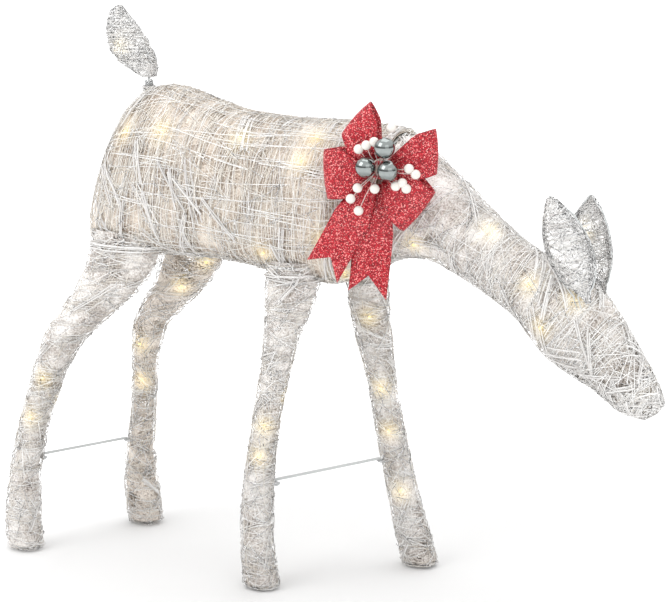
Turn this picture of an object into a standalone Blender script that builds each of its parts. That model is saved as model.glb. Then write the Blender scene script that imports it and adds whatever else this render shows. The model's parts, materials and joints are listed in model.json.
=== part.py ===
"""Light up yard reindeer: a grazing doe built of wire-frame sections wound with thread.

Metres, +Z up, nose toward +X, the doe's left side toward +Y, feet on the ground at z = 0.
The body, the neck with the head, and the legs are separate frames, each with a wound skin and
a light string of its own.  Prongs on the legs and neck plug into sleeves inside the body.
"""

import math

import bmesh
import bpy
from mathutils import Matrix, Vector

# Moves the design's origin so that the finished outline is centred over the world's origin
ORIGIN_SHIFT = Vector((0.0090, 0.0150, 0.0))

# Wire, skin and clearance
FRAME_WIRE = 0.00175
LIGHT_WIRE = 0.0011
SKIN = 0.0022
GAP = 0.0004
RIB_INSET = SKIN + GAP + FRAME_WIRE + 0.0026
STRINGER_INSET = RIB_INSET + 1.5 * FRAME_WIRE
FRAME_RESOLUTION = 0
WIRE_RESOLUTION = 1
SKIN_SIDES = 24
RIB_SIDES = 12
NECK_SIDES = 16
NECK_RIB_SIDES = 8
LEG_SIDES = 12
WELD_DISTANCE = 0.000002

# Body: top and bottom of each section (x, z), half width, and how square its underside is
BODY_SECTIONS = (
    ((-0.350, 0.772), (-0.430, 0.524), 0.074, 3.4),
    ((-0.325, 0.787), (-0.404, 0.520), 0.094, 3.8),
    ((-0.285, 0.792), (-0.348, 0.518), 0.106, 4.0),
    ((-0.235, 0.775), (-0.275, 0.518), 0.110, 3.6),
    ((-0.165, 0.754), (-0.190, 0.516), 0.110, 2.6),
    ((-0.095, 0.748), (-0.115, 0.508), 0.112, 2.6),
    ((-0.030, 0.748), (-0.045, 0.499), 0.111, 3.2),
    ((0.035, 0.747), (0.020, 0.493), 0.107, 3.2),
    ((0.090, 0.744), (0.070, 0.506), 0.098, 2.8),
    ((0.126, 0.740), (0.100, 0.528), 0.089, 2.4),
)
TOP_SQUARE = 2.2
RUMP_ROUNDING = ((0.013, 0.45), (0.010, 0.80))

# Neck and head: the same, from the shoulder seam down to the nose
NECK_SECTIONS = (
    ((0.128, 0.739), (0.102, 0.529), 0.088, 2.4),
    ((0.188, 0.693), (0.138, 0.542), 0.076, 2.2),
    ((0.240, 0.647), (0.184, 0.540), 0.063, 2.1),
    ((0.286, 0.606), (0.232, 0.515), 0.054, 2.0),
    ((0.330, 0.573), (0.280, 0.488), 0.050, 2.0),
    ((0.375, 0.549), (0.321, 0.462), 0.052, 2.0),
    ((0.420, 0.532), (0.347, 0.427), 0.056, 2.0),
    ((0.455, 0.511), (0.376, 0.398), 0.055, 2.0),
    ((0.484, 0.473), (0.414, 0.379), 0.049, 2.0),
    ((0.509, 0.432), (0.450, 0.360), 0.041, 2.0),
    ((0.532, 0.396), (0.478, 0.338), 0.034, 2.0),
    ((0.546, 0.370), (0.504, 0.328), 0.027, 2.0),
    ((0.552, 0.350), (0.524, 0.325), 0.019, 2.0),
)

# Tail: front and back of each section (x, z) and half thickness, from the stem up to the tip
TAIL_SECTIONS = (
    ((-0.327, 0.804), (-0.356, 0.806), 0.013, 2.0),
    ((-0.323, 0.815), (-0.392, 0.820), 0.020, 2.0),
    ((-0.328, 0.835), (-0.414, 0.845), 0.023, 2.0),
    ((-0.340, 0.858), (-0.419, 0.870), 0.021, 2.0),
    ((-0.358, 0.881), (-0.417, 0.891), 0.017, 2.0),
    ((-0.376, 0.900), (-0.410, 0.907), 0.011, 2.0),
    ((-0.390, 0.914), (-0.401, 0.917), 0.005, 2.0),
)
TAIL_PIVOT = Vector((-0.340, 0.0, 0.7925))

# Legs: section heights, then each leg's middle (x) and half length at those heights
LEG_HEIGHTS = (0.56, 0.50, 0.45, 0.41, 0.37, 0.31, 0.22, 0.14, 0.07, 0.0)
LEG_Y_TOP = 0.060
LEG_Y_FOOT = 0.110
LEG_MAX_HALF_WIDTH = 0.036
LEG_WIDTH_RATIO = 0.9
LEGS = {
    "right_hind": (-1, (-0.345, -0.356, -0.388, -0.427, -0.463, -0.493, -0.521, -0.537, -0.540, -0.534),
                   (0.066, 0.066, 0.056, 0.050, 0.037, 0.028, 0.025, 0.025, 0.030, 0.032)),
    "left_hind": (1, (-0.290, -0.295, -0.322, -0.357, -0.392, -0.407, -0.416, -0.429, -0.433, -0.429),
                  (0.058, 0.058, 0.050, 0.041, 0.029, 0.0225, 0.0205, 0.024, 0.030, 0.031)),
    "right_front": (-1, (-0.033, -0.039, -0.046, -0.055, -0.062, -0.072, -0.084, -0.089, -0.086, -0.074),
                    (0.052, 0.045, 0.037, 0.028, 0.0245, 0.0215, 0.022, 0.025, 0.026, 0.029)),
    "left_front": (1, (0.030, 0.027, 0.028, 0.032, 0.038, 0.047, 0.060, 0.075, 0.090, 0.105),
                   (0.036, 0.035, 0.033, 0.031, 0.027, 0.0225, 0.024, 0.024, 0.028, 0.030)),
}
LEG_HOOPS = (0.022, 0.310, 0.450)
LEG_FRAME_FOOT = 0.012
SOLE_BEVEL = (0.0004, 0.003)
SEAM_HEIGHT = 0.52
BAR_HEIGHT = {"right_hind": 0.153, "left_hind": 0.157, "right_front": 0.1665, "left_front": 0.181}
PRONG_SPACING = {"hind": 0.020, "front": 0.016}
PRONG_BEND = 0.476
PRONG_TOP = 0.588
OPENING_MARGIN = 0.008
OPENING_HALF_WIDTH = 0.016
OPENING_SPAN = (0.45, 0.56)
SLEEVE_LOW = 0.540
SLEEVE_HIGH = 0.575
SLEEVE_OUTER = 0.0042
SLEEVE_BORE = 0.0024
SLEEVE_BAR_REACH = 0.014
SLEEVE_BAR_RISE = 0.018
SLEEVE_BAR_OFFSET = SLEEVE_OUTER + FRAME_WIRE * 0.4
CLIP_WIRE = 0.0009
CLIP_REACH = FRAME_WIRE + 0.0014
CLIP_RISE = 0.0022
CLIP_START = 40
CLIP_SWEEP = 280

# Spreader bars
BAR_RADIUS = 0.0024
EYE_WIRE = 0.0015
EYE_STANDOFF = 0.0315
EYE_HALF_SPAN = 0.0065
EYE_ROOT = 0.011
EYE_HOLE = (0.014, 0.036)
BAR_HOOK_CLEARANCE = 0.0006

# Neck prongs and sleeves
NECK_PRONG_Y = 0.045
NECK_PRONG_Z = 0.6315
NECK_PRONG_TIP = 0.050
NECK_SLEEVE_X = 0.066
NECK_SLEEVE_LENGTH = 0.030
NECK_BAR_AT = 0.45
NECK_CONNECTOR = Vector((0.100, -0.012, 0.700))
CONNECTOR_HALF_LENGTH = 0.010
NECK_PLUG_SPAN = (0.0104, 0.030)

# Cage wires: ribs and lengthwise wires by section number and by angle round the section
BODY_RIBS = (1.0, 2.1, 3.5, 5.25, 7.8, 8.9)
BODY_LENGTHS = (90, 30, 150, 270)
BODY_CAGE_SPAN = (0.9, 8.95)
NECK_RIBS = (0.12, 2.1, 4.0, 5.9, 8.0, 10.1, 11.6)
NECK_LENGTHS = (90, 0, 180, 270)
NECK_CAGE_SPAN = (0.05, 11.7)
NECK_SEAM = 0.02

# Lights
BULB_ROOT = 0.0023
BULB_LENGTH = 0.012
BULB_FOOT_RADIUS = 0.0034
BULB_TIP_RADIUS = 0.0022
BULB_SIDES = 7
BODY_MIDDLE = Vector((-0.13, 0.0, 0.64))
BODY_BULB_STOPS = (1, 3, 4, 6, 8, 10, 11, 13, 15, 16, 17)
NECK_LIGHT_START = Vector((0.132, -0.012, 0.700))
NECK_LIGHT_COUNT = 7
NECK_LIGHT_FIRST = 1.5
NECK_LIGHT_STEP = 1.4
NECK_LIGHT_INSET = 0.022
LEG_LIGHT_HEIGHTS = (0.47, 0.42, 0.37, 0.31, 0.24, 0.20, 0.12, 0.05)
LEG_BULB_HEIGHTS = (0.45, 0.34, 0.26, 0.10, 0.06)
LEG_BULB_RISE = 0.013
LEG_BULB_LEAN = 0.001

# Light connectors
SOCKET_LOW = 0.603
SOCKET_HIGH = 0.625
PLUG_LOW = 0.584
CONNECTOR_RADIUS = 0.0050
CORD_ABOVE_SOCKET = 0.006
CORD_TOP_IN_LEG = 0.525

# Ears; -1 is the doe's right, 1 its left.  They are mounted slightly unlike each other.
EAR_AT = 6.6
EAR_SPREAD = 50
EAR_HOLE = 0.0075
EAR_HOLE_DEPTH = 0.016
EAR_LENGTH = {-1: 0.147, 1: 0.131}
EAR_LEAN = {-1: (-0.041, -0.0165, 0.157), 1: (-0.019, 0.0165, 0.142)}
EAR_FACING = {-1: (0.15, 0.97, 0.0), 1: (-0.22, -0.97, 0.0)}
EAR_FOOT_SLOPE = 0.6
EAR_STEM = 0.0135
EAR_STEM_SPREAD = 0.0036
EAR_HALF_WIDTH = 0.036
EAR_CUP = 0.016
EAR_RIM = 0.0014
EAR_SKIN = 0.0018
EAR_LEAF_START = 0.06
EAR_LEAF_SPAN = 0.90

# Tail bracket, and the outline wire: section number with its inset at the back and the front
TAIL_BRACKET_HALF = 0.012
TAIL_BRACKET_DEPTH = 0.024
TAIL_EYE_Y = 0.0055
TAIL_EYE_RADIUS = 0.0036
TAIL_SIDES = 12
TAIL_WIRE_INSETS = ((0.25, 0.008, 0.018), (1.0, 0.009, 0.016), (2.0, 0.009, 0.011),
                    (3.0, 0.009, 0.009), (4.0, 0.009, 0.009), (4.7, 0.008, 0.008))

# Bow
BOW_CENTRE = Vector((0.135, -0.116, 0.692))
BOW_TURN = math.radians(15)
RIBBON_WIDTH = 0.0635
RIBBON_THICKNESS = 0.0012
BALL_RADIUS = 0.0158
BERRY_RADIUS = 0.0076
BERRY_STEM = 0.0011
LOOP_GATHER = 0.016
TAIL_START = 0.022
NOTCH_DEPTH = 0.020
SPRIG_ROOT_OUT = 0.0155
SPRIG_BEND_OUT = 0.0190
SPRIG_ROOT_RADIUS = 0.0030
TIE_WIRE = 0.0016
# direction in degrees, reach from the knot, depth
BOW_LOOPS = {
    "upper": (105, 0.088, 0.030),
    "left": (185, 0.078, 0.034),
    "right_upper": (20, 0.106, 0.030),
    "right_lower": (-42, 0.094, 0.032),
}
# direction in degrees, reach, distance out at the knot, further distance out at the end
BOW_TAILS = {"left": (-117, 0.185, 0.004, 0.006), "right": (-90, 0.205, -0.004, 0.010)}
BALLS = ((-0.0150, 0.0080, 0.033), (0.0195, 0.0040, 0.036), (0.0150, 0.0385, 0.038))
# where each sprig leaves the knot, then its berries as right, up, out
SPRIGS = {
    "upper": ((-0.002, 0.010), ((-0.028, 0.036, 0.028), (-0.010, 0.050, 0.031), (0.034, 0.066, 0.030))),
    "lower": ((-0.008, -0.009), ((-0.026, -0.026, 0.028), (-0.040, -0.048, 0.030),
                                 (-0.022, -0.064, 0.028), (0.008, -0.030, 0.034))),
    "right": ((0.012, -0.004), ((0.034, -0.036, 0.030), (0.056, -0.026, 0.029), (0.064, 0.006, 0.031),
                                (0.078, -0.012, 0.029))),
}


# ------------------------------------------------------------------ scene and materials

def clear_scene():
    for obj in list(bpy.data.objects):
        bpy.data.objects.remove(obj, do_unlink=True)


def new_collection(name):
    collection = bpy.data.collections.new(name)
    bpy.context.scene.collection.children.link(collection)
    return collection


def make_material(name, colour, roughness, metallic=0.0):
    material = bpy.data.materials.new(name)
    material.use_nodes = True
    shader = material.node_tree.nodes["Principled BSDF"]
    shader.inputs["Base Color"].default_value = (*colour, 1.0)
    shader.inputs["Roughness"].default_value = roughness
    shader.inputs["Metallic"].default_value = metallic
    return material


clear_scene()
PARTS = new_collection("light_up_yard_reindeer")
CUTTERS = new_collection("cutters")
ROOT = bpy.data.objects.new("reindeer_origin", None)
ROOT.location = ORIGIN_SHIFT
PARTS.objects.link(ROOT)

WHITE_WIRE = make_material("white_coated_wire", (0.86, 0.86, 0.84), 0.35)
THREAD = make_material("silver_white_thread", (0.78, 0.75, 0.70), 0.55)
LIGHT = make_material("warm_white_lights", (0.90, 0.86, 0.70), 0.30)
PLUG = make_material("white_plastic", (0.88, 0.88, 0.86), 0.40)
RIBBON = make_material("red_glitter_ribbon", (0.60, 0.02, 0.03), 0.45)
CHROME = make_material("silver_ball", (0.80, 0.80, 0.82), 0.08, 1.0)
BERRY = make_material("cream_berry", (0.90, 0.86, 0.76), 0.35)
STEEL = make_material("zinc_wire", (0.62, 0.62, 0.62), 0.35, 0.9)


# ------------------------------------------------------------------ curves and sections

def spline(values, at):
    """Smooth value at a fractional index along a list of equal-length tuples."""
    last = len(values) - 1
    low = min(int(at), last - 1)
    part = at - low
    around = [values[min(max(low + step, 0), last)] for step in (-1, 0, 1, 2)]
    weights = (
        -0.5 * part + part ** 2 - 0.5 * part ** 3,
        1.0 - 2.5 * part ** 2 + 1.5 * part ** 3,
        0.5 * part + 2.0 * part ** 2 - 1.5 * part ** 3,
        -0.5 * part ** 2 + 0.5 * part ** 3,
    )
    return [sum(w * v[k] for w, v in zip(weights, around)) for k in range(len(values[0]))]


def smooth_path(points, per_span):
    count = (len(points) - 1) * per_span
    return [Vector(spline(points, step / per_span)) for step in range(count + 1)]


class ProfileLoft:
    """Sections given by their top and bottom in the XZ plane; angle 0 is +Y, 90 degrees the top."""

    def __init__(self, sections):
        self.values = [(*top, *bottom, half, square) for top, bottom, half, square in sections]
        self.last = len(self.values) - 1

    def section(self, at):
        top_x, top_z, low_x, low_z, half, square = spline(self.values, at)
        top = Vector((top_x, 0.0, top_z))
        low = Vector((low_x, 0.0, low_z))
        along = (top - low) / 2
        return (top + low) / 2, Vector((0, 1, 0)), half, along.normalized(), along.length, square

    def point(self, at, degrees, inset=0.0):
        centre, across, half_across, along, half_along, square = self.section(at)
        cos_a = math.cos(math.radians(degrees))
        sin_a = math.sin(math.radians(degrees))
        power = 2.0 / (square if sin_a < 0 else TOP_SQUARE)
        side = math.copysign(abs(cos_a) ** power, cos_a) * max(half_across - inset, 0.0005)
        rise = math.copysign(abs(sin_a) ** power, sin_a) * max(half_along - inset, 0.0005)
        return centre + across * side + along * rise

    def ring(self, at, sides, inset=0.0):
        return [self.point(at, 360.0 * k / sides, inset) for k in range(sides)]


class LegLoft(ProfileLoft):
    """Level oval sections down a leg; angle 0 is +Y, 90 degrees the front."""

    def __init__(self, side, middles, halves):
        self.side = side
        self.values = list(zip(LEG_HEIGHTS, middles, halves))
        self.last = len(self.values) - 1

    def section(self, at):
        height, middle, half = spline(self.values, at)
        height = max(height, 0.0)
        spread = LEG_Y_FOOT + (LEG_Y_TOP - LEG_Y_FOOT) * height / LEG_HEIGHTS[0]
        half_width = min(half * LEG_WIDTH_RATIO, LEG_MAX_HALF_WIDTH)
        centre = Vector((middle, self.side * spread, height))
        return centre, Vector((0, 1, 0)), half_width, Vector((1, 0, 0)), half, TOP_SQUARE

    def at_height(self, height):
        low, high = 0.0, float(self.last)
        for _ in range(40):
            middle = (low + high) / 2
            if self.section(middle)[0].z > height:
                low = middle
            else:
                high = middle
        return (low + high) / 2


BODY = ProfileLoft(BODY_SECTIONS)
NECK = ProfileLoft(NECK_SECTIONS)
TAIL = ProfileLoft(TAIL_SECTIONS)
LEG = {name: LegLoft(*values) for name, values in LEGS.items()}


# ------------------------------------------------------------------ making solids

def add_object(name, data, material, pivot=None, collection=None):
    """Place data under the root; a pivot becomes the object's own origin."""
    obj = bpy.data.objects.new(name, data)
    (collection or PARTS).objects.link(obj)
    if material:
        data.materials.clear()
        data.materials.append(material)
    if pivot is not None:
        data.transform(Matrix.Translation(-pivot))
        obj.location = pivot
    obj.parent = ROOT
    return obj


def mesh_from_rings(name, rings, cap_start=False, cap_end=False):
    """Skin a list of equal rings, with its faces turned outward."""
    bm = bmesh.new()
    rows = [[bm.verts.new(point) for point in ring] for ring in rings]
    sides = len(rows[0])
    for first, second in zip(rows, rows[1:]):
        for k in range(sides):
            bm.faces.new((first[k], first[(k + 1) % sides], second[(k + 1) % sides], second[k]))
    if cap_start:
        bm.faces.new(rows[0])
    if cap_end:
        bm.faces.new(rows[-1])
    bmesh.ops.recalc_face_normals(bm, faces=bm.faces)
    bm.faces.ensure_lookup_table()
    bm.normal_update()
    middle_row = len(rows) // 2 - 1
    probe = bm.faces[middle_row * sides]
    core = sum((Vector(p) for p in rings[middle_row]), Vector()) / sides
    if probe.normal.dot(probe.calc_center_median() - core) < 0:
        bmesh.ops.reverse_faces(bm, faces=bm.faces)
    mesh = bpy.data.meshes.new(name)
    bm.to_mesh(mesh)
    bm.free()
    return mesh


def make_skin(name, rings, material, cap_start=False, cap_end=False, thickness=SKIN, pivot=None):
    """A thin wall grown inward from a lofted surface."""
    mesh = mesh_from_rings(name, rings, cap_start, cap_end)
    mesh.shade_smooth()
    obj = add_object(name, mesh, material, pivot)
    solidify = obj.modifiers.new("wall", "SOLIDIFY")
    solidify.thickness = thickness
    solidify.offset = -1.0
    return obj


def add_cut(obj, cutter, name):
    cut = obj.modifiers.new(name, "BOOLEAN")
    cut.operation = "DIFFERENCE"
    cut.solver = "EXACT"
    cut.object = cutter


def hide_cutter(cutter):
    cutter.hide_render = True
    cutter.display_type = "WIRE"
    return cutter


def wire_curve(points, radius, cyclic, resolution):
    curve = bpy.data.curves.new("wire", "CURVE")
    curve.dimensions = "3D"
    curve.bevel_depth = radius
    curve.bevel_resolution = resolution
    curve.use_fill_caps = not cyclic
    line = curve.splines.new("POLY")
    line.points.add(len(points) - 1)
    for slot, point in zip(line.points, points):
        slot.co = (*point, 1.0)
    line.use_cyclic_u = cyclic
    return curve


def wire_mesh(points, radius, cyclic=False, resolution=WIRE_RESOLUTION):
    """The wire as a closed mesh."""
    curve = wire_curve(points, radius, cyclic, resolution)
    obj = bpy.data.objects.new("wire", curve)
    bpy.context.scene.collection.objects.link(obj)
    graph = bpy.context.evaluated_depsgraph_get()
    mesh = bpy.data.meshes.new_from_object(obj.evaluated_get(graph))
    bpy.data.objects.remove(obj)
    bm = bmesh.new()
    bm.from_mesh(mesh)
    bmesh.ops.remove_doubles(bm, verts=bm.verts, dist=WELD_DISTANCE)
    bmesh.ops.recalc_face_normals(bm, faces=bm.faces)
    bm.to_mesh(mesh)
    bm.free()
    return mesh


def sphere_mesh(centre, radius, segments=10, rings=6):
    bm = bmesh.new()
    bmesh.ops.create_uvsphere(bm, u_segments=segments, v_segments=rings, radius=radius,
                              matrix=Matrix.Translation(centre))
    mesh = bpy.data.meshes.new("sphere")
    bm.to_mesh(mesh)
    bm.free()
    return mesh


def cone_mesh(start, end, start_radius, end_radius, sides=8):
    axis = end - start
    turn = Vector((0, 0, 1)).rotation_difference(axis).to_matrix().to_4x4()
    bm = bmesh.new()
    bmesh.ops.create_cone(bm, cap_ends=True, segments=sides, radius1=start_radius,
                          radius2=end_radius, depth=axis.length,
                          matrix=Matrix.Translation((start + end) / 2) @ turn)
    mesh = bpy.data.meshes.new("cone")
    bm.to_mesh(mesh)
    bm.free()
    return mesh


def tube_mesh(start, end, outer, bore, sides=8):
    """A plain sleeve between two points."""
    axis = end - start
    turn = Vector((0, 0, 1)).rotation_difference(axis).to_matrix().to_4x4()
    place = Matrix.Translation(start) @ turn
    outline = ((outer, axis.length), (outer, 0.0), (bore, 0.0), (bore, axis.length))
    bm = bmesh.new()
    columns = []
    for k in range(sides):
        angle = 2 * math.pi * k / sides
        columns.append([bm.verts.new(place @ Vector((r * math.cos(angle), r * math.sin(angle), h)))
                        for r, h in outline])
    for k in range(sides):
        here, there = columns[k], columns[(k + 1) % sides]
        for j in range(4):
            bm.faces.new((here[j], here[(j + 1) % 4], there[(j + 1) % 4], there[j]))
    bmesh.ops.recalc_face_normals(bm, faces=bm.faces)
    mesh = bpy.data.meshes.new("sleeve")
    bm.to_mesh(mesh)
    bm.free()
    return mesh


def joined_object(name, meshes):
    bm = bmesh.new()
    for mesh in meshes:
        bm.from_mesh(mesh)
        bpy.data.meshes.remove(mesh)
    joined = bpy.data.meshes.new(name)
    bm.to_mesh(joined)
    bm.free()
    obj = bpy.data.objects.new(name, joined)
    bpy.context.scene.collection.objects.link(obj)
    return obj


def weld(first, second):
    """Union of two groups of solids that only touch across the groups."""
    base = joined_object("base", first)
    other = joined_object("other", second)
    union = base.modifiers.new("union", "BOOLEAN")
    union.operation = "UNION"
    union.solver = "EXACT"
    union.object = other
    graph = bpy.context.evaluated_depsgraph_get()
    mesh = bpy.data.meshes.new_from_object(base.evaluated_get(graph))
    for obj in (base, other):
        bpy.data.objects.remove(obj)
    bm = bmesh.new()
    bm.from_mesh(mesh)
    bmesh.ops.remove_doubles(bm, verts=bm.verts, dist=WELD_DISTANCE)
    bm.to_mesh(mesh)
    bm.free()
    mesh.materials.clear()
    return mesh


def round_piece(name, mesh, material, pivot=None):
    mesh.shade_smooth()
    mesh.set_sharp_from_angle(angle=math.radians(40))
    return add_object(name, mesh, material, pivot)


# ------------------------------------------------------------------ body

def leg_seam(name):
    """Middle of a leg where its skin meets the body."""
    return LEG[name].section(LEG[name].at_height(SEAM_HEIGHT))[0]


def prong_spacing(name):
    return PRONG_SPACING[name.split("_")[1]]


def prong_points(name):
    """Front and rear prong of a leg, seen from above."""
    middle = leg_seam(name)
    return [Vector((middle.x + step * prong_spacing(name), middle.y, 0.0)) for step in (1, -1)]


def closed_envelope(loft, grow, name):
    """The outer shape of a loft, grown a little and closed at both ends."""
    rings = [loft.ring(step, SKIN_SIDES, -grow) for step in range(loft.last + 1)]
    mesh = mesh_from_rings(name, rings, True, True)
    return hide_cutter(add_object(name, mesh, None, collection=CUTTERS))


def upright_cutter(name, centre, half_x, half_y, low, high):
    mesh = cone_mesh(Vector((0, 0, low)), Vector((0, 0, high)), 1.0, 1.0, 12)
    mesh.transform(Matrix.Translation((centre.x, centre.y, 0)) @ Matrix.Diagonal((half_x, half_y, 1, 1)))
    return hide_cutter(add_object(name, mesh, None, collection=CUTTERS))


def rod_cutter(name, start, end, radius):
    return hide_cutter(add_object(name, cone_mesh(start, end, radius, radius, 8), None,
                                  collection=CUTTERS))


def body_wrap():
    """Skin of the barrel: rounded at the rump, open at the shoulder, an opening over each leg."""
    centre, _, _, along, _, _ = BODY.section(0)
    outward = Vector((-along.z, 0, along.x))
    cap = [[centre + outward * push + (point - centre) * shrink for point in BODY.ring(0, SKIN_SIDES)]
           for push, shrink in RUMP_ROUNDING]
    rings = cap + [BODY.ring(step, SKIN_SIDES) for step in range(BODY.last + 1)]
    wrap = make_skin("body_wrap", rings, THREAD, cap_start=True)
    for name in LEG:
        half_length = prong_spacing(name) + OPENING_MARGIN
        cutter = upright_cutter("opening_" + name, leg_seam(name), half_length, OPENING_HALF_WIDTH,
                                *OPENING_SPAN)
        add_cut(wrap, cutter, name)
    for side in (-1, 1):
        foot = TAIL_PIVOT + Vector((0, side * TAIL_BRACKET_HALF, 0))
        hole = rod_cutter("tail_hole_%d" % side, foot - Vector((0, 0, TAIL_BRACKET_DEPTH)), foot,
                          EYE_WIRE + GAP)
        add_cut(wrap, hole, hole.name)
    return wrap


def frame_mesh(points, cyclic=False):
    return wire_mesh(points, FRAME_WIRE, cyclic, FRAME_RESOLUTION)


def cage(loft, ribs, angles, sides, span):
    """Ribs welded over lengthwise wires."""
    first, last = span
    hoops = [frame_mesh(loft.ring(at, sides, RIB_INSET), True) for at in ribs]
    stops = [first] + [at for at in range(loft.last + 1) if first < at < last] + [last]
    lengths = [frame_mesh([loft.point(at, angle, STRINGER_INSET) for at in stops]) for angle in angles]
    return hoops, lengths


def body_frame():
    hoops, lengths = cage(BODY, BODY_RIBS, BODY_LENGTHS, RIB_SIDES, BODY_CAGE_SPAN)
    return round_piece("body_frame", weld(hoops, lengths), WHITE_WIRE)


def body_lights():
    """One string past every leg connector, with bulbs pointing out and a socket over each leg."""
    cord_height = SOCKET_HIGH - CORD_ABOVE_SOCKET
    stops = {name: Vector((*leg_seam(name).xy, cord_height)) for name in LEG}
    route = [
        NECK_CONNECTOR, Vector((0.050, -0.055, 0.672)), stops["right_front"],
        Vector((-0.120, -0.080, 0.655)), Vector((-0.215, -0.070, 0.600)),
        stops["right_hind"], Vector((-0.385, -0.040, 0.650)), Vector((-0.378, 0.020, 0.690)),
        Vector((-0.330, 0.062, 0.680)), stops["left_hind"],
        Vector((-0.205, 0.080, 0.655)), Vector((-0.090, 0.078, 0.600)), stops["left_front"],
        Vector((0.070, 0.045, 0.690)), Vector((0.000, 0.020, 0.722)), Vector((-0.100, -0.020, 0.730)),
        Vector((-0.220, 0.015, 0.740)), Vector((-0.290, -0.012, 0.750)),
    ]
    cord = light_mesh(smooth_path(route, 2))
    extras = [bulb_mesh(route[stop], route[stop] - BODY_MIDDLE) for stop in BODY_BULB_STOPS]
    for place in stops.values():
        extras.append(cone_mesh(Vector((*place.xy, SOCKET_LOW)), Vector((*place.xy, SOCKET_HIGH)),
                                CONNECTOR_RADIUS, CONNECTOR_RADIUS, 9))
    reach = Vector((CONNECTOR_HALF_LENGTH, 0, 0))
    extras.append(cone_mesh(NECK_CONNECTOR - reach, NECK_CONNECTOR + reach,
                            CONNECTOR_RADIUS, CONNECTOR_RADIUS, 10))
    return round_piece("body_lights", weld([cord], extras), LIGHT)


def light_mesh(points):
    return wire_mesh(points, LIGHT_WIRE, False, FRAME_RESOLUTION)


def bulb_mesh(foot, direction):
    """A small husk and lens pointing away from the middle of its section."""
    out = direction.normalized()
    return cone_mesh(foot - out * BULB_ROOT, foot + out * BULB_LENGTH, BULB_FOOT_RADIUS,
                     BULB_TIP_RADIUS, BULB_SIDES)


# ------------------------------------------------------------------ neck and head

def neck_head_wrap():
    stops = [NECK_SEAM] + list(range(1, NECK.last + 1))
    rings = [NECK.ring(at, NECK_SIDES) for at in stops]
    wrap = make_skin("neck_head_wrap", rings, THREAD, cap_end=True)
    for side in (-1, 1):
        root, up = ear_root(side)
        hole = rod_cutter("ear_hole_%d" % side, root - up * EAR_HOLE_DEPTH,
                          root + up * (EAR_STEM + 0.0005), EAR_HOLE)
        add_cut(wrap, hole, hole.name)
    return wrap


def neck_head_frame():
    hoops, lengths = cage(NECK, NECK_RIBS, NECK_LENGTHS, NECK_RIB_SIDES, NECK_CAGE_SPAN)
    end = NECK.point(NECK_BAR_AT, 0, STRINGER_INSET - FRAME_WIRE)
    hoops.append(frame_mesh([Vector((end.x, end.y * k / 2, end.z)) for k in (-2, -1, 0, 1, 2)]))
    for side in (-1, 1):
        start = Vector((end.x + 0.005, side * NECK_PRONG_Y, NECK_PRONG_Z))
        tip = Vector((NECK_PRONG_TIP, start.y, start.z))
        lengths.append(frame_mesh([start, (start + tip) / 2, tip]))
    return round_piece("neck_head_frame", weld(hoops, lengths), WHITE_WIRE)


def neck_head_lights():
    points = [NECK_LIGHT_START]
    for step in range(NECK_LIGHT_COUNT):
        angle = 80 if step % 2 else 260
        points.append(NECK.point(NECK_LIGHT_FIRST + step * NECK_LIGHT_STEP, angle, NECK_LIGHT_INSET))
    cord = light_mesh(smooth_path(points, 3))
    bulbs = []
    for number, point in enumerate(points[1:]):
        side = Vector((0.1, 1 if number % 2 else -1, 0.3))
        bulbs.append(bulb_mesh(point, side))
    return round_piece("neck_head_lights", weld([cord], bulbs), LIGHT)


# ------------------------------------------------------------------ legs

def bar_centre(name):
    """Middle of a leg at its bar eye."""
    loft = LEG[name]
    return loft.section(loft.at_height(BAR_HEIGHT[name]))[0]


def bar_eye_axes(name):
    """Middle of the leg at its eye, the level way toward the other leg, and the eye's own run."""
    side, pair = name.split("_")
    direction = bar_centre("left_" + pair) - bar_centre("right_" + pair)
    direction.z = 0
    direction.normalize()
    across = Vector((direction.y, -direction.x, 0))
    return bar_centre(name), direction if side == "right" else -direction, across


def leg_wrap(name, envelope):
    loft = LEG[name]
    rings = [loft.ring(step, LEG_SIDES) for step in range(loft.last)]
    side_inset, sole_inset = SOLE_BEVEL
    lift = Vector((0, 0, sole_inset))
    rings.append([point + lift for point in loft.ring(loft.last, LEG_SIDES, side_inset)])
    rings.append(loft.ring(loft.last, LEG_SIDES, sole_inset))
    wrap = make_skin(name + "_leg_wrap", rings, THREAD, cap_end=True)
    add_cut(wrap, envelope, "body")
    centre, inward, across = bar_eye_axes(name)
    for step in (-1, 1):
        foot = centre + across * (step * EYE_HALF_SPAN)
        hole = rod_cutter("%s_eye_hole_%d" % (name, step), foot + inward * EYE_HOLE[0],
                          foot + inward * EYE_HOLE[1], EYE_WIRE + GAP)
        add_cut(wrap, hole, hole.name)
    return wrap


def leg_frame(name):
    loft = LEG[name]
    hoop_under_eye = BAR_HEIGHT[name] - EYE_WIRE - FRAME_WIRE - GAP
    hoops = [frame_mesh(loft.ring(loft.at_height(z), LEG_SIDES, RIB_INSET), True)
             for z in LEG_HOOPS + (hoop_under_eye,)]
    lengths = []
    outer = 0 if loft.side > 0 else 180
    front, rear = prong_points(name)
    for angle, prong in ((90, front), (270, rear), (outer, None)):
        path = [loft.point(loft.at_height(z), angle, STRINGER_INSET)
                for z in (LEG_FRAME_FOOT,) + LEG_HEIGHTS[-2:1:-1]]
        if prong:
            path.append(Vector((prong.x, prong.y, PRONG_BEND)))
            path.append(Vector((prong.x, prong.y, PRONG_TOP)))
        lengths.append(frame_mesh(path))
    return round_piece(name + "_leg_frame", weld(hoops, lengths), WHITE_WIRE)


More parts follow.
